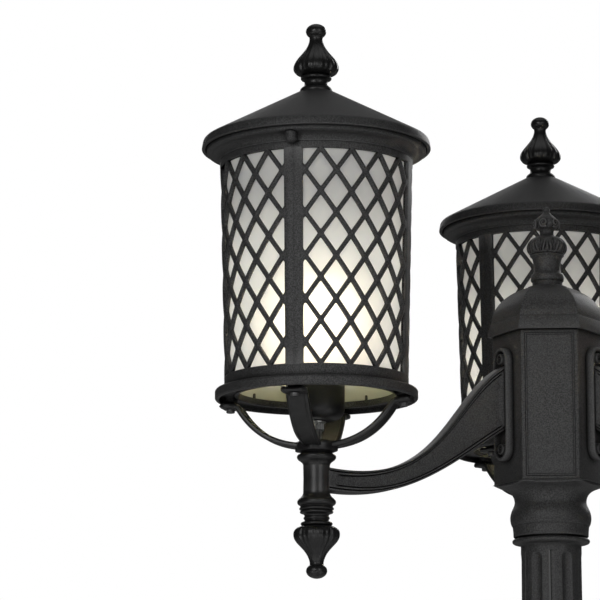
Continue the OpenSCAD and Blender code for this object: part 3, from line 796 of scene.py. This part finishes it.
def add_cages():
    bm = bmesh.new()
    add_lattice(bm)
    for turn in turns(STRAP_ANGLES):
        heights = [WINDOW_LOW - 1 + (WINDOW_TOP - WINDOW_LOW + 2) * k / 12 for k in range(13)]
        loft(bm, [[turn @ Vector(p) for p in strap_section(z)] for z in heights])
    for low, high in ((CAGE_FOOT, WINDOW_LOW), (WINDOW_TOP, CROWN_LOW)):
        ring = [(cage_radius(low) + 0.1, low, 0.7), (cage_radius(high) + 0.1, high, 0.9),
                (cage_radius(high) - CAGE_WALL, high, 0.7), (cage_radius(low) - CAGE_WALL, low, 0.7)]
        lathe(bm, soften(ring, 1, closed=True), 192, closed=True)
    on_lanterns("cage", to_mesh(bm, "cage", "powder_coat", 50))


# ---- diffuser, lamp and holder ----


def add_diffusers():
    outline = soften([(83, CAGE_FOOT), (85, CAGE_FOOT), (90, CROWN_TOP - 1), (88, CROWN_TOP - 1)],
                     0.7, closed=True)
    return on_lanterns("diffuser", turned("diffuser", outline, "frosted_diffuser", 128, closed=True))


def add_bulbs(diffusers):
    """The lamps shine on the diffusers only, so that the castings round them stay black."""
    glass = [(12.6, 25), (14.5, 26.5)]
    glass += bezier([(15, 27), (17, 46), (BULB_R, 58), (BULB_R, BULB_MID)], 16)
    glass += oval(0, BULB_MID, BULB_R, BULB_R, 6, 90, 14)
    glass[-1].x = 0
    lamps = on_lanterns("bulb", turned("bulb_glass", glass, "opal_bulb", 72, at=raised(BULB_LOW)), "bulb_{}")
    lit = bpy.data.collections.new("lit_by_the_lamps")
    for diffuser in diffusers:
        lit.objects.link(diffuser)
    for lamp in lamps:
        lamp.light_linking.receiver_collection = lit
    threads = 6
    thread = [(12.6 - 0.6 * math.cos(TURN * k / 4), 5 + 18 * k / (threads * 4))
              for k in range(threads * 4 + 1)]
    cap = [(0, 0), (4.6, 0.4), (8.6, 3), (12.2, 4.6)] + thread + [(13.1, 24.5), (13.1, 26), (0, 26)]
    mesh = turned("bulb_cap", cap, "zinc_steel", 64, at=raised(BULB_LOW))
    for side in SIDES:
        put(f"bulb_cap_{side}_detailed", mesh, f"bulb_{side}", lantern_place(side))


def add_lampholders():
    shell = bezier([(13, HOLDER_LOW), (22, HOLDER_LOW), (CUP_R, HOLDER_LOW + 4),
                    (CUP_R, HOLDER_LOW + 13)], 10)
    outline = [(5.1, HOLDER_LOW)] + shell + soften([
        (CUP_R, HOLDER_LOW + 14, 0), (CUP_R, HOLDER_TOP, 0.9), (CUP_R - 2.5, HOLDER_TOP, 0.9),
        (CUP_R - 2.5, HOLDER_TOP - 29, 0.5), (17, HOLDER_TOP - 29, 0.5), (17, HOLDER_TOP - 1, 0.6),
        (13.4, HOLDER_TOP - 1, 0.4), (13.4, HOLDER_TOP - 24, 0.5), (5.1, HOLDER_TOP - 24, 0.2)], 1)
    on_lanterns("lampholder", turned("lampholder", outline, "holder_black", closed=True))


# ---- under the lantern ----


def add_base_rings():
    outline = soften([(78, CAGE_FOOT, 0.4), (99.2, CAGE_FOOT, 0.5), (RING_R, CAGE_FOOT - 1.5, 0.8),
                      (RING_R, RING_LOW + 1.3, 0.9), (99.3, RING_LOW, 0.7), (96.5, RING_LOW, 0.6),
                      (96.5, CAGE_FOOT - 4, 1.5), (81, CAGE_FOOT - 4, 1), (81, CAGE_FOOT - 6.5, 0.6),
                      (78, CAGE_FOOT - 6.5, 0.6)], 1, closed=True)
    bm = bmesh.new()
    lathe(bm, outline, 192, closed=True)
    boss = soften([(0, CAGE_FOOT - 3.5), (7.6, CAGE_FOOT - 3.5, 0), (7, CAGE_FOOT - 5, 0.8),
                   (7, RING_LOW, 0.8), (2.1, RING_LOW, 0.3), (2.1, RING_LOW + 6, 0.2), (0, RING_LOW + 6)], 1)
    peg = soften([(0, CAGE_FOOT + 5), (1.3, CAGE_FOOT + 5, 0.6), (1.5, CAGE_FOOT - 1, 0),
                  (0, CAGE_FOOT - 1)], 0.5)
    for turn in turns(STRAP_ANGLES):
        lathe(bm, boss, 32, at=turn @ Matrix.Translation((FOOT_AT, 0, 0)))
        for angle in (25, 65):
            lathe(bm, peg, 16, at=turn @ Matrix.Rotation(math.radians(angle), 4, "Z")
                  @ Matrix.Translation((80, 0, 0)))
    on_lanterns("base_ring", to_mesh(bm, "base_ring", "powder_coat"))


def strap_line():
    """Centre line of a spider strap, from the collar out to its foot under the base ring."""
    rise = bezier([(12, SPIDER_LOW + 7), (48, SPIDER_LOW + 8.5), (66, RING_LOW - 24.5),
                   (76, RING_LOW - 9.5)], 22)
    foot = bezier([(78, RING_LOW - 6.2), (80, RING_LOW - 3.6), (84, RING_LOW - 3), (93, RING_LOW - 3)], 10)
    curl = [(95.2, RING_LOW - 3.4), (96.6, RING_LOW - 4.6)]
    return rise + foot + [Vector(p) for p in curl]


def add_spiders():
    section = soften([(-11, -1.6, 0.8), (-11, 1.6, 0.8), (-9.4, 2.9, 0.8), (-7.6, 2.9, 0.5), (-7, 2.3, 0.4),
                      (7, 2.3, 0.4), (7.6, 2.9, 0.5), (9.4, 2.9, 0.8), (11, 1.6, 0.8), (11, -1.6, 0.8),
                      (9.4, -2.9, 0.8), (7.6, -2.9, 0.5), (7, -2.3, 0.4), (-7, -2.3, 0.4),
                      (-7.6, -2.9, 0.5), (-9.4, -2.9, 0.8)], 0.5, steps=2, closed=True)
    line = strap_line()
    last = len(line) - 1
    bm = bmesh.new()
    for turn in turns(STRAP_ANGLES):
        sections = []
        for i, spot in enumerate(line):
            along = (line[min(i + 1, last)] - line[max(i - 1, 0)]).normalized()
            width = 0.78 + 0.22 * smooth_step(spot.x, 14, 50)
            width *= 1 + 0.16 * smooth_step(spot.x, 80, 88) - 0.3 * smooth_step(spot.x, 93, 97)
            thin = 1 - 0.45 * smooth_step(spot.x, 92, 97)
            sections.append([turn @ Vector((spot.x - along.y * h * thin, w * width,
                                            spot.y + along.x * h * thin)) for w, h in section])
        loft(bm, sections)

    def lobes(angle, radius, height):
        return angle, radius + (2 * max(0, math.cos(4 * (angle - math.radians(45)))) if radius > 18 else 0)
    collar = soften([(5.1, SPIDER_LOW), (16, SPIDER_LOW, 0.6), (17, SPIDER_LOW + 1.2, 0.4),
                     (19.4, SPIDER_LOW + 1.6, 0.8), (20, SPIDER_TOP - 3, 1.5), (18.4, SPIDER_TOP, 1.2),
                     (5.1, SPIDER_TOP)], 1)
    lathe(bm, collar, 96, lobes, closed=True)
    on_lanterns("spider", to_mesh(bm, "spider", "smooth_black", 45))


def add_stems():
    """Threaded stem tubes with the washer and nut that clamp each lamp cup."""
    top = HOLDER_LOW
    thread = [(4.95 - 0.35 * (k % 2), SPIDER_TOP - 2 + k / 2) for k in range(int(top - SPIDER_TOP + 4) * 2)]
    tube = [(3.4, DROP_SEAT - 10), (5, DROP_SEAT - 10), (5, SPIDER_TOP - 3)] + thread
    tube += [(5, top + 9), (3.4, top + 9)]
    washer = soften([(5, top - 2.2), (9.5, top - 2.2, 0.4), (9.5, top - 0.8, 0.4), (5, top - 0.8)], 0.4)
    nut = [(5, top - 10), (7.4, top - 10), (8.3, top - 9.2), (8.3, top - 3.2), (7.4, top - 2.4),
           (5, top - 2.4)]
    bm = bmesh.new()
    for side in SIDES:
        place = lantern_place_mm(side)
        lathe(bm, tube, 40, closed=True, at=place)
        lathe(bm, washer, 48, at=place)
        lathe(bm, nut, 6, at=place)
    put_node(to_mesh(bm, "stem_tubes", "zinc_steel", 30))


def add_collars():
    """The turned spool round the stem, above and below the eye of the arm."""
    upper = [(5.1, EYE_TOP), (EYE_R, EYE_TOP)]
    upper += bezier([(13.3, EYE_TOP + 1), (13.6, EYE_TOP + 3.4), (16.2, EYE_TOP + 4.6), (18, EYE_TOP + 6)], 8)
    upper += oval(15.6, EYE_TOP + 8.8, 3.8, 3.2, -38, 86, 9)
    upper += soften([(15.6, EYE_TOP + 12), (15, SPIDER_LOW, 0.4), (5.1, SPIDER_LOW)], 0.5)
    on_lanterns("upper_collar", turned("upper_collar", upper, "smooth_black", closed=True))
    lower = [(5.1, EYE_LOW), (EYE_R, EYE_LOW)]
    lower += bezier([(13.2, EYE_LOW - 1), (13.3, EYE_LOW - 4), (15.4, EYE_LOW - 6), (17.2, EYE_LOW - 7.4)], 8)
    lower += oval(15.2, EYE_LOW - 10.8, 3.9, 3.6, 52, -76, 10)
    lower += [(15.8, DROP_SEAT), (5.1, DROP_SEAT)]
    on_lanterns("lower_collar", turned("lower_collar", lower, "smooth_black", closed=True))


# ---- arm ----

ARM_TOP = [(REACH - 8, EYE_MID + 11.5), (122.5, EYE_MID - 4.5), (118.5, HUB_MID + 6.5),
           (APOTHEM + 4, HUB_MID + 40)]
ARM_UNDER = [(REACH - 8, EYE_MID - 12), (165.5, EYE_MID - 22), (112.5, HUB_MID - 59),
             (APOTHEM + 4, HUB_MID - 25.5)]
ARM_STEPS = 72
# Half section of the arm's side from its edge in: distance from the middle plane, distance from the edge
ARM_EDGE = [(0, 0), (5.5, 0), (7.6, 0.25), (9, 1.0), (9.6, 1.9), (9.6, 2.4), (7.2, 2.7), (7.2, 3.6),
            (9.8, 4.0), (10, 4.7), (9.9, 5.6)]
ARM_PANEL = [(7.2, 5.9), (7.2, 6.9), (9.0, 7.3), (9.1, 8.2)]
ARM_FACE = 9.95


def arm_sections():
    """Loops across the arm; the side panels sink in between a raised border."""
    tops, unders = bezier(ARM_TOP, ARM_STEPS), bezier(ARM_UNDER, ARM_STEPS)
    sections = []
    for i, (top, under) in enumerate(zip(tops, unders)):
        t = i / ARM_STEPS
        sunk = smooth_step(t, 0.035, 0.045) * (1 - smooth_step(t, 0.945, 0.955))
        height = (top - under).length
        across = (top - under).normalized()
        half = ARM_EDGE + [(ARM_FACE + (y - ARM_FACE) * sunk, e) for y, e in ARM_PANEL]
        half.append((half[-1][0], height / 2))
        right = half + [(y, height - e) for y, e in reversed(half[:-1])]
        loop = right + [(-y, e) for y, e in reversed(right[1:-1])]
        sections.append([(under.x + across.x * e, y, under.y + across.y * e) for y, e in loop])
    return sections


def stadium(length, width):
    """Outline of a round-ended plate, long along its second axis."""
    radius, straight = width / 2, (length - width) / 2
    return oval(0, straight, radius, radius, 0, 180, 12) + oval(0, -straight, radius, radius, 180, 360, 12)


def arm_mesh():
    bm = bmesh.new()
    loft(bm, arm_sections())
    flange = [(0.4, 0), (0, 1.2), (0, FLANGE_T - 1.6), (0.5, FLANGE_T - 0.5), (1.6, FLANGE_T),
              (2.8, FLANGE_T - 0.3), (3.4, FLANGE_T - 1.4), (3.8, 4.4), (4.6, 3.6)]
    loft(bm, [[(APOTHEM + out, p.x, HUB_MID + p.y)
               for p in stadium(FLANGE_H - 2 * inset, FLANGE_W - 2 * inset)] for inset, out in flange])
    top, under = bezier(ARM_TOP, 100), bezier(ARM_UNDER, 100)
    boss = soften([(0, 1.3), (2.8, 1.3, 0.7), (3.9, 0, 0.3), (4.4, -1)], 0.5)
    for step, share in ((93, 0.76), (94, 0.16)):
        spot = under[step].lerp(top[step], share)
        for sign in (-1, 1):
            turn = Matrix.Rotation(math.radians(-90 * sign), 4, "X")
            lathe(bm, boss, 32, at=Matrix.Translation((spot.x, sign * 8.2, spot.y)) @ turn)
    return to_mesh(bm, "arm", "powder_coat", 40)


def add_arms():
    mesh = arm_mesh()
    eye = soften([(5.1, EYE_LOW), (EYE_R, EYE_LOW, 0), (EYE_R - 0.2, EYE_MID, 0), (EYE_R, EYE_TOP, 0),
                  (5.1, EYE_TOP)], 0.3)
    eye_mesh = turned("arm_eye", eye, "smooth_black", closed=True, at=Matrix.Translation((REACH, 0, 0)))
    for side in SIDES:
        put(f"arm_{side}_detailed", mesh, "post", arm_place(side), [f"arm_{side}"])
        put(f"arm_eye_{side}_detailed", eye_mesh, "post", arm_place(side))


# ---- fasteners ----


def screw_head(bm, radius, height, socket, at):
    """A domed head with a hexagonal socket, standing on its seat."""
    outer = soften([(radius, 0), (radius, height, height * 0.45), (socket * 1.12, height, 0.2)], 1)
    lathe(bm, [(0, 0)] + outer, 36, at=at)

    def hexed(angle, reach, level):
        return angle, reach * math.cos(SIXTH / 2) / math.cos(angle % SIXTH - SIXTH / 2)
    well = [(socket * 1.12, height), (socket, height - 0.3), (socket, height * 0.35),
            (0, height * 0.35)]
    lathe(bm, well, 36, hexed, at=at)


def add_screws():
    bm = bmesh.new()
    knob = soften([(0, -15.2), (3.6, -15.2, 1), (5.8, -13, 1.8), (5.8, -5, 0.4), (2.5, -5, 0.2),
                   (2.5, CROWN_TOP + 7)], 1) + [(0, CROWN_TOP + 7)]
    for side in SIDES:
        for turn in turns(KNOB_ANGLES):
            lathe(bm, knob, 40, at=lantern_place_mm(side) @ turn @ Matrix.Translation((KNOB_AT, 0, 0)))
    put_node(to_mesh(bm, "roof_screws", "powder_coat"))
    bm = bmesh.new()
    flip = Matrix.Rotation(math.pi, 4, "X")
    for side in SIDES:
        for turn in turns(STRAP_ANGLES):
            screw_head(bm, 4.3, 3.6, 2, lantern_place_mm(side) @ turn
                       @ Matrix.Translation((FOOT_AT, 0, RING_LOW - 6)) @ flip)
    put_node(to_mesh(bm, "bracket_screws", "black_fastener"))
    bm = bmesh.new()
    for side in SIDES:
        arm = Matrix.Translation((0, 0, RIM)) @ Matrix.Rotation(bearing(side), 4, "Z")
        for sign in (-1, 1):
            seat = Matrix.Translation((APOTHEM + 4, 0, HUB_MID + sign * SCREW_GAP))
            screw_head(bm, 5.6, 5.2, 2.8, arm @ seat @ Matrix.Rotation(math.pi / 2, 4, "Y"))
    put_node(to_mesh(bm, "arm_screws", "black_fastener"))
    bm = bmesh.new()
    for side in SIDES:
        seat = Matrix.Translation((0, EYE_R - 1.4, EYE_MID)) @ Matrix.Rotation(-math.pi / 2, 4, "X")
        plug = soften([(0, 0.9), (3.5, 0.7, 0.5), (3.9, 0.1, 0.3), (4.1, -0.5, 0.3), (5.0, 0.3, 0.4),
                       (5.4, -0.8, 0.2), (5.2, -3)], 0.4)
        lathe(bm, plug, 40, at=lantern_place_mm(side, "arm") @ seat)
    put_node(to_mesh(bm, "set_screws", "smooth_black"))


# ---- hub ----


def hexagon(radius, z):
    return [(radius * math.cos(SIXTH * k), radius * math.sin(SIXTH * k), z) for k in range(6)]


def add_hub_body():
    """Hexagonal box whose three plain faces carry a framed, slightly sunk panel."""
    bm = bmesh.new()
    wall = 6 / math.cos(math.radians(30))
    rings = [[bm.verts.new(p) for p in hexagon(r, z)] for r, z in
             ((HUB_R, HUB_LOW), (HUB_R, HUB_TOP), (HUB_R - wall, HUB_TOP), (HUB_R - wall, HUB_LOW + 6))]
    for low, high in zip(rings, rings[1:]):
        bridge(bm, low, high)
    bm.faces.new(rings[0])
    bm.faces.new(rings[-1])
    bm.normal_update()
    plain = [f for f in bm.faces if f.calc_center_median().xy.length > APOTHEM - 1 and
             (round(math.degrees(math.atan2(*f.calc_center_median().yx))) - 30) % 120 == 0
             and f.calc_area() > 5000]
    for thickness, depth in ((3.4, 0), (0.5, -0.5), (0.5, 0.6), (0.9, 0), (0.6, -1.0), (1.0, 0.1)):
        bmesh.ops.inset_region(bm, faces=plain, thickness=thickness, depth=depth, use_even_offset=True)
    bevel(bm, [e for e in sharp_edges(bm, 50) if all(abs(v.co.xy.length - HUB_R) < 0.2 for v in e.verts)],
          1.3, segments=3)
    put_node(to_mesh(bm, "hub_body", "powder_coat", 24), "post", hub_place())


def add_hub_dome():
    """Six curved facets over a sloping rim, hollow underneath."""
    corner = 1 / math.cos(math.radians(30))
    width = DOME_R / corner - 3.6
    base = HUB_TOP + BAND_H
    dome = [Vector((width * math.cos(a) * corner, base + DOME_H * math.sin(a)))
            for a in (math.radians(3 + 67 * k / 16) for k in range(17))]
    outline = [(DOME_R, HUB_TOP), (DOME_R - 3, base - 1), (DOME_R - 3.4, base),
               Vector((width * corner, base + 0.2))] + dome
    outline += [(20, base + DOME_H - 1.6), (0, base + DOME_H - 1.5)]
    bm = bmesh.new()
    lathe(bm, outline, 6)
    under = [(DOME_R - 7, HUB_TOP), (DOME_R - 9, base)]
    under += [(p.x - 5, p.y - 5) for p in dome] + [(0, base + DOME_H - 8)]
    lathe(bm, under, 6)
    lathe(bm, [outline[0], under[0]], 6)
    bmesh.ops.remove_doubles(bm, verts=bm.verts, dist=1e-3)
    bmesh.ops.recalc_face_normals(bm, faces=bm.faces)
    bevel(bm, sharp_edges(bm, 24), 0.9, segments=3)
    put_node(to_mesh(bm, "hub_dome", "powder_coat", 22), "hub_cap", hub_place())


def hub_finial_shape(angle, radius, height):
    """Eight leaves with fine veins round the lower bulb, petals round the upper one."""
    lower = smooth_step(height, 33.4, 36) * (1 - smooth_step(height, 47, 51.5))
    upper = smooth_step(height, 60, 63) * (1 - smooth_step(height, 72, 73.6))
    veins = smooth_step(height, 34, 37) * (1 - smooth_step(height, 42, 46))
    leaf = 0.13 * (abs(math.cos(4 * angle)) ** 0.6 - 1)
    vein = 0.11 * (abs(math.cos(16 * angle + 0.25 * (height - 40) * math.sin(8 * angle))) - 1)
    petal = 0.1 * (abs(math.cos(3 * angle)) ** 0.6 - 1)
    return angle, radius * (1 + lower * leaf + veins * vein + upper * petal)


def add_scroll(bm, middle_angle, sign):
    """A volute that lies on the upper bulb of the hub's finial."""
    turns_run, count = 1.6, 30
    sections = []
    for i in range(count + 1):
        t = i / count
        reach = 4.4 * (1 - t) + 0.9 * t
        wind = TURN * turns_run * t - 0.6
        across, up = sign * reach * math.sin(wind), -reach * math.cos(wind)
        height = 66 + up
        radius = 12.9 * math.cos(math.asin(min(0.93, abs(height - 65.5) / 10.5))) - 0.1
        angle = middle_angle + across / 12
        spot = Vector((radius * math.cos(angle), radius * math.sin(angle), height))
        out = Vector((math.cos(angle), math.sin(angle), 0))
        along = Vector((-math.sin(angle) * sign * math.cos(wind), math.cos(angle) * sign * math.cos(wind),
                        math.sin(wind)))
        side = along.cross(out)
        thick = 1.25 - 0.45 * t
        sections.append([spot + (out * math.cos(a) + side * math.sin(a)) * thick
                         for a in (TURN * k / 8 for k in range(8))])
    loft(bm, sections)


def add_hub_finial():
    outline = [(0, 0), (15.4, 0), (15.4, 4.7)]
    outline += bezier([(16.2, 4.9), (17.5, 5.4), (17.3, 10.6), (16.2, 12.3)], 8)
    outline += bezier([(15.2, 13), (13.8, 14.6), (13.2, 19), (14.3, 25)], 12)
    outline += bezier([(14.3, 25), (14.8, 28), (15.4, 30), (16.4, 31)], 6)[1:]
    outline += oval(16.4, 32.2, 1.2, 1.0, -80, 80, 5)
    outline += bezier([(17.2, 33.3), (22.2, 36), (22.2, 45), (16.2, 49.6)], 18)
    outline += bezier([(16.2, 49.6), (13.4, 51.6), (9.6, 51.6), (8.2, 53)], 10)[1:]
    outline += bezier([(8.2, 53), (6.8, 55), (6.8, 58), (8.4, 60)], 8)[1:]
    outline += bezier([(8.4, 60), (11.5, 61.2), (12.8, 63.6), (12.8, 66.2)], 10)[1:]
    outline += bezier([(12.8, 66.2), (12.7, 69.5), (10, 72), (7.6, 73.8)], 10)[1:]
    outline += bezier([(6.8, 74.2), (5.6, 75.6), (4.4, 76.6), (3.4, 78.4)], 6)
    outline += oval(0, 80.6, 3.9, 3.6, -32, 90, 9)
    outline[-1].x = 0
    bm = bmesh.new()
    lathe(bm, outline, 192, hub_finial_shape)
    for k in range(3):
        for sign in (-1, 1):
            add_scroll(bm, math.radians(-76 + 120 * k + 30 * sign), sign)
    bmesh.ops.translate(bm, vec=(0, 0, HUB_TOP + BAND_H + DOME_H - 1.5), verts=bm.verts)
    put_node(to_mesh(bm, "hub_finial", "powder_coat", 60), "hub_cap", hub_place())


def add_capital():
    """Neck under the hub, flaring from round to the hub's hexagon, with a turned swelling."""
    def flare(angle, radius, height):
        if radius <= 45 and height <= -17:
            return angle, radius
        hexed = min(radius, APOTHEM / math.cos(angle % SIXTH - SIXTH / 2))
        return angle, radius + (hexed - radius) * smooth_step(height, -17, -1)
    rim = HUB_R - 0.6
    outline = [(28, 0), (rim, 0), (rim, -0.8)]
    outline += bezier([(rim, -0.8), (44, -4), (36.6, -8), (36.6, -18.2)], 16)[1:]
    outline += bezier([(36.9, -20), (38.2, -24), (41.3, -28), (41.3, -34)], 10)
    outline += bezier([(41.3, -34.6), (41.2, -38), (40.4, -40.5), (39.6, -42)], 6)
    outline += bezier([(39.1, -42.2), (38.6, -45), (38.3, -48), (38.2, -CAPITAL_H + 0.7)], 6)
    outline += [(37.6, -CAPITAL_H), (28, -CAPITAL_H)]
    put_node(turned("capital", outline, "powder_coat", 144, 50, shape=flare, closed=True,
                    at=raised(HUB_LOW)), place=hub_place())


# ---- shaft ----


def add_shaft():
    """Tapered tube with round-ended flutes and a turned ring at its top."""
    groove, out = 8, 4.9
    top = RIM + SHAFT_TOP
    high, low = top - 22, SHAFT_FOOT + 40
    per_flute = 32

    def fluted(angle, radius, height):
        if not low - groove < height < high + groove or radius > SHAFT_FOOT_R + 1 or radius < 24:
            return angle, radius
        past = max(0, height - high, low - height)
        reach = math.sqrt(max(0, groove ** 2 - past ** 2))
        axis = radius + out
        half = math.degrees(math.asin(min(1, groove / axis))) * 0.92
        sector = 360 / FLUTES
        local = (math.degrees(angle) + sector / 2) % sector - sector / 2
        share = abs(local) / (sector / 2)
        # Two thirds of the points go into the flute, where the surface turns most
        local = math.copysign(half * share / 0.66 if share < 0.66
                              else half + (sector / 2 - half) * (share - 0.66) / 0.34, local)
        base = round(math.degrees(angle) / sector) * sector
        turned = math.radians(local)
        inside = reach ** 2 - (axis * math.sin(turned)) ** 2
        depth = axis * math.cos(turned) - math.sqrt(inside) if inside > 0 else radius
        soft = radius - min(radius, depth)
        return math.radians(base + local), radius - soft

    def radius_at(height):
        return SHAFT_FOOT_R + (SHAFT_TOP_R - SHAFT_FOOT_R) * (height - SHAFT_FOOT) / (top - SHAFT_FOOT)
    ends = [groove * math.sin(math.radians(10 * k)) for k in range(10)]
    heights = [SHAFT_FOOT] + [low - e for e in reversed(ends)]
    heights += [low + (high - low) * k / 24 for k in range(1, 24)] + [high + e for e in ends]
    heights += [top - 9]
    outline = [(22, SHAFT_FOOT - 34), (30.8, SHAFT_FOOT - 34), (30.8, SHAFT_FOOT)]
    outline += [(radius_at(h), h) for h in heights]
    outline += bezier([(30.9, top - 8), (31, top - 6.4), (34, top - 6.2), (37, top - 5.6)], 6)
    outline += oval(36.6, top - 3, 2.9, 2.6, -70, 80, 8)
    outline += [(35, top - 0.4), (35, top + 1.3), (22, top + 1.3)]
    put_node(turned("shaft", outline, "powder_coat", FLUTES * per_flute, 40, shape=fluted, closed=True))


# ---- base ----

PEDESTAL_R = 96
PEDESTAL_TOP = 420
FACE = PEDESTAL_R * math.cos(math.radians(30))
SOCKET_R = 78
BOLT_AT = 66
DOOR_MID = 235
LOCK_X = 24
PANEL_AREA = 400e-6


def cad_shell(node):
    """A CAD node's skin in millimetres, with the triangles of each flat face merged."""
    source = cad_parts[node]
    bm = bmesh.new()
    bm.from_mesh(source.data)
    bm.transform(Matrix.Scale(1 / MM, 4) @ source.matrix_world)
    bmesh.ops.remove_doubles(bm, verts=bm.verts, dist=0.01)
    bmesh.ops.dissolve_limit(bm, angle_limit=math.radians(1), verts=bm.verts, edges=bm.edges)
    bm.normal_update()
    return bm


def eased_shell(bm, node, width, skin, body="post", segments=2):
    """Finishes a CAD shell with rounded edges, and puts it in its node's place."""
    bevel(bm, sharp_edges(bm, 30), width, segments)
    put_node(to_mesh(bm, node, skin, 30, PANEL_AREA), body)


def add_pedestal():
    """Hexagonal case whose sunk panels carry a raised field, between its plate and its cap."""
    eased_shell(cad_shell("base_plate"), "base_plate", 1.6, "plain_powder_coat", segments=3)
    bm = cad_shell("pedestal")
    panels = [f for f in bm.faces if f.calc_area() > 15000 and abs(f.normal.z) < 0.1
              and 80 < f.calc_center_median().xy.length < FACE and f.normal.dot(f.calc_center_median()) > 0]
    for width, rise in ((5, 0), (1.6, 1.1), (2.2, 0), (1.2, -0.7)):
        bmesh.ops.inset_individual(bm, faces=panels, thickness=width, depth=rise, use_even_offset=True)
    eased_shell(bm, "pedestal", 0.9, "plain_powder_coat")
    eased_shell(cad_shell("pedestal_cap"), "pedestal_cap", 1.4, "plain_powder_coat", segments=3)


def frame_moulding(bm, width, height, at):
    """A rounded bead that runs round a rectangle, standing on the plane that at gives."""
    section = soften([(-2.4, 0, 0), (-2.4, 0.9, 0.5), (-1.2, 1.2, 0.4), (0, 0.7, 0.3), (1.2, 1.2, 0.4),
                      (2.4, 0.9, 0.5), (2.4, 0, 0)], 0.4)
    corners = [(1, 1), (-1, 1), (-1, -1), (1, -1)]
    loops = [[bm.verts.new(at @ Vector((sx * (width / 2 - x), sz * (height / 2 - x), y))) for x, y in section]
             for sx, sz in corners]
    for low, high in zip(loops, loops[1:] + loops[:1]):
        bridge(bm, low, high)


def add_door():
    """Flush door with a raised moulding and a ring round its lock."""
    bm = cad_shell("access_door")
    bevel(bm, sharp_edges(bm, 30), 0.6)
    front = Matrix.Translation((0, -FACE, DOOR_MID)) @ Matrix.Rotation(math.pi / 2, 4, "X")
    frame_moulding(bm, 56, 162, front)
    ring = soften([(6.3, 0), (6.3, 1.0, 0.4), (8.6, 1.0, 0.5), (9.0, 0)], 0.4)
    lathe(bm, ring, 40, at=Matrix.Translation((LOCK_X, 0, 0)) @ front)
    put_node(to_mesh(bm, "access_door", "plain_powder_coat", 30, PANEL_AREA), "door")


def add_base_fittings():
    """The small hard parts of the base and the hub."""
    for node, body, width in (("door_lock", "lock", 0.35), ("door_pin", "post", 0.4),
                              ("fuse_block", "post", 1.2), ("hub_terminal", "post", 0.8)):
        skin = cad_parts[node].material_slots[0].material.name.split(".")[0]
        eased_shell(cad_shell(node), node, width, skin, body)


def add_socket():
    """Flared foot of the shaft: gadroons on its flare under a rounded collar."""
    top = PEDESTAL_TOP
    outline = [(31.2, SHAFT_FOOT), (40, SHAFT_FOOT)]
    outline += oval(42.5, SHAFT_FOOT - 7, 6, 7, 85, -85, 14)
    outline += [(42.2, SHAFT_FOOT - 15), (41.9, SHAFT_FOOT - 16)]
    flare = bezier([(58, top + 9), (57, top + 42), (43, top + 38), (42, SHAFT_FOOT - 17)], 22)
    outline += list(reversed(flare))
    outline += soften([(60, top + 8, 0.4), (SOCKET_R, top + 8, 1.6), (SOCKET_R, top + 0.2, 0.8)], 1)
    outline += [(SOCKET_R, top), (22.2, top), (22.2, SHAFT_FOOT - 35), (31.2, SHAFT_FOOT - 35)]

    def gadroons(angle, radius, height):
        if radius < 41 or radius > 59:
            return angle, radius
        swell = smooth_step(height, top + 10, top + 22) * (1 - smooth_step(height, top + 52, top + 66))
        return angle, radius + 2.2 * swell * (abs(math.cos(9 * angle)) ** 0.8 - 1)

    put_node(turned("shaft_socket", outline, "powder_coat", 216, 40, shape=gadroons, closed=True))


def add_socket_bolts():
    """Hexagonal heads on washers round the foot of the shaft."""
    seat = PEDESTAL_TOP + 8
    washer = soften([(3, seat), (6.4, seat, 0.2), (6.4, seat + 1, 0.4), (3, seat + 1)], 0.4)
    head = soften([(5.6, seat + 1, 0.2), (5.6, seat + 4.6, 0.5), (4.6, seat + 5.2, 0.3),
                   (0, seat + 5.2)], 0.5)
    shank = [(0, seat - 16), (3, seat - 16), (3, seat)]
    bm = bmesh.new()
    for k in range(6):
        place = Matrix.Rotation(math.radians(30 + 60 * k), 4, "Z") @ Matrix.Translation((BOLT_AT, 0, 0))
        lathe(bm, washer, 36, at=place)
        lathe(bm, shank, 24, at=place)
        lathe(bm, [(0, seat + 1)] + head, 6, at=place @ Matrix.Rotation(0.3 * k, 4, "Z"))
    put_node(to_mesh(bm, "socket_bolts", "black_fastener", 30))


# ---- assembly ----

add_camera()
add_studio()
add_floor()
dress_frame()
add_finials()
add_roofs()
add_crowns()
add_cages()
add_bulbs(add_diffusers())
add_lampholders()
add_base_rings()
add_spiders()
add_stems()
add_collars()
add_arms()
add_screws()
add_hub_body()
add_hub_dome()
add_hub_finial()
add_capital()
add_shaft()
add_pedestal()
add_door()
add_base_fittings()
add_socket()
add_socket_bolts()
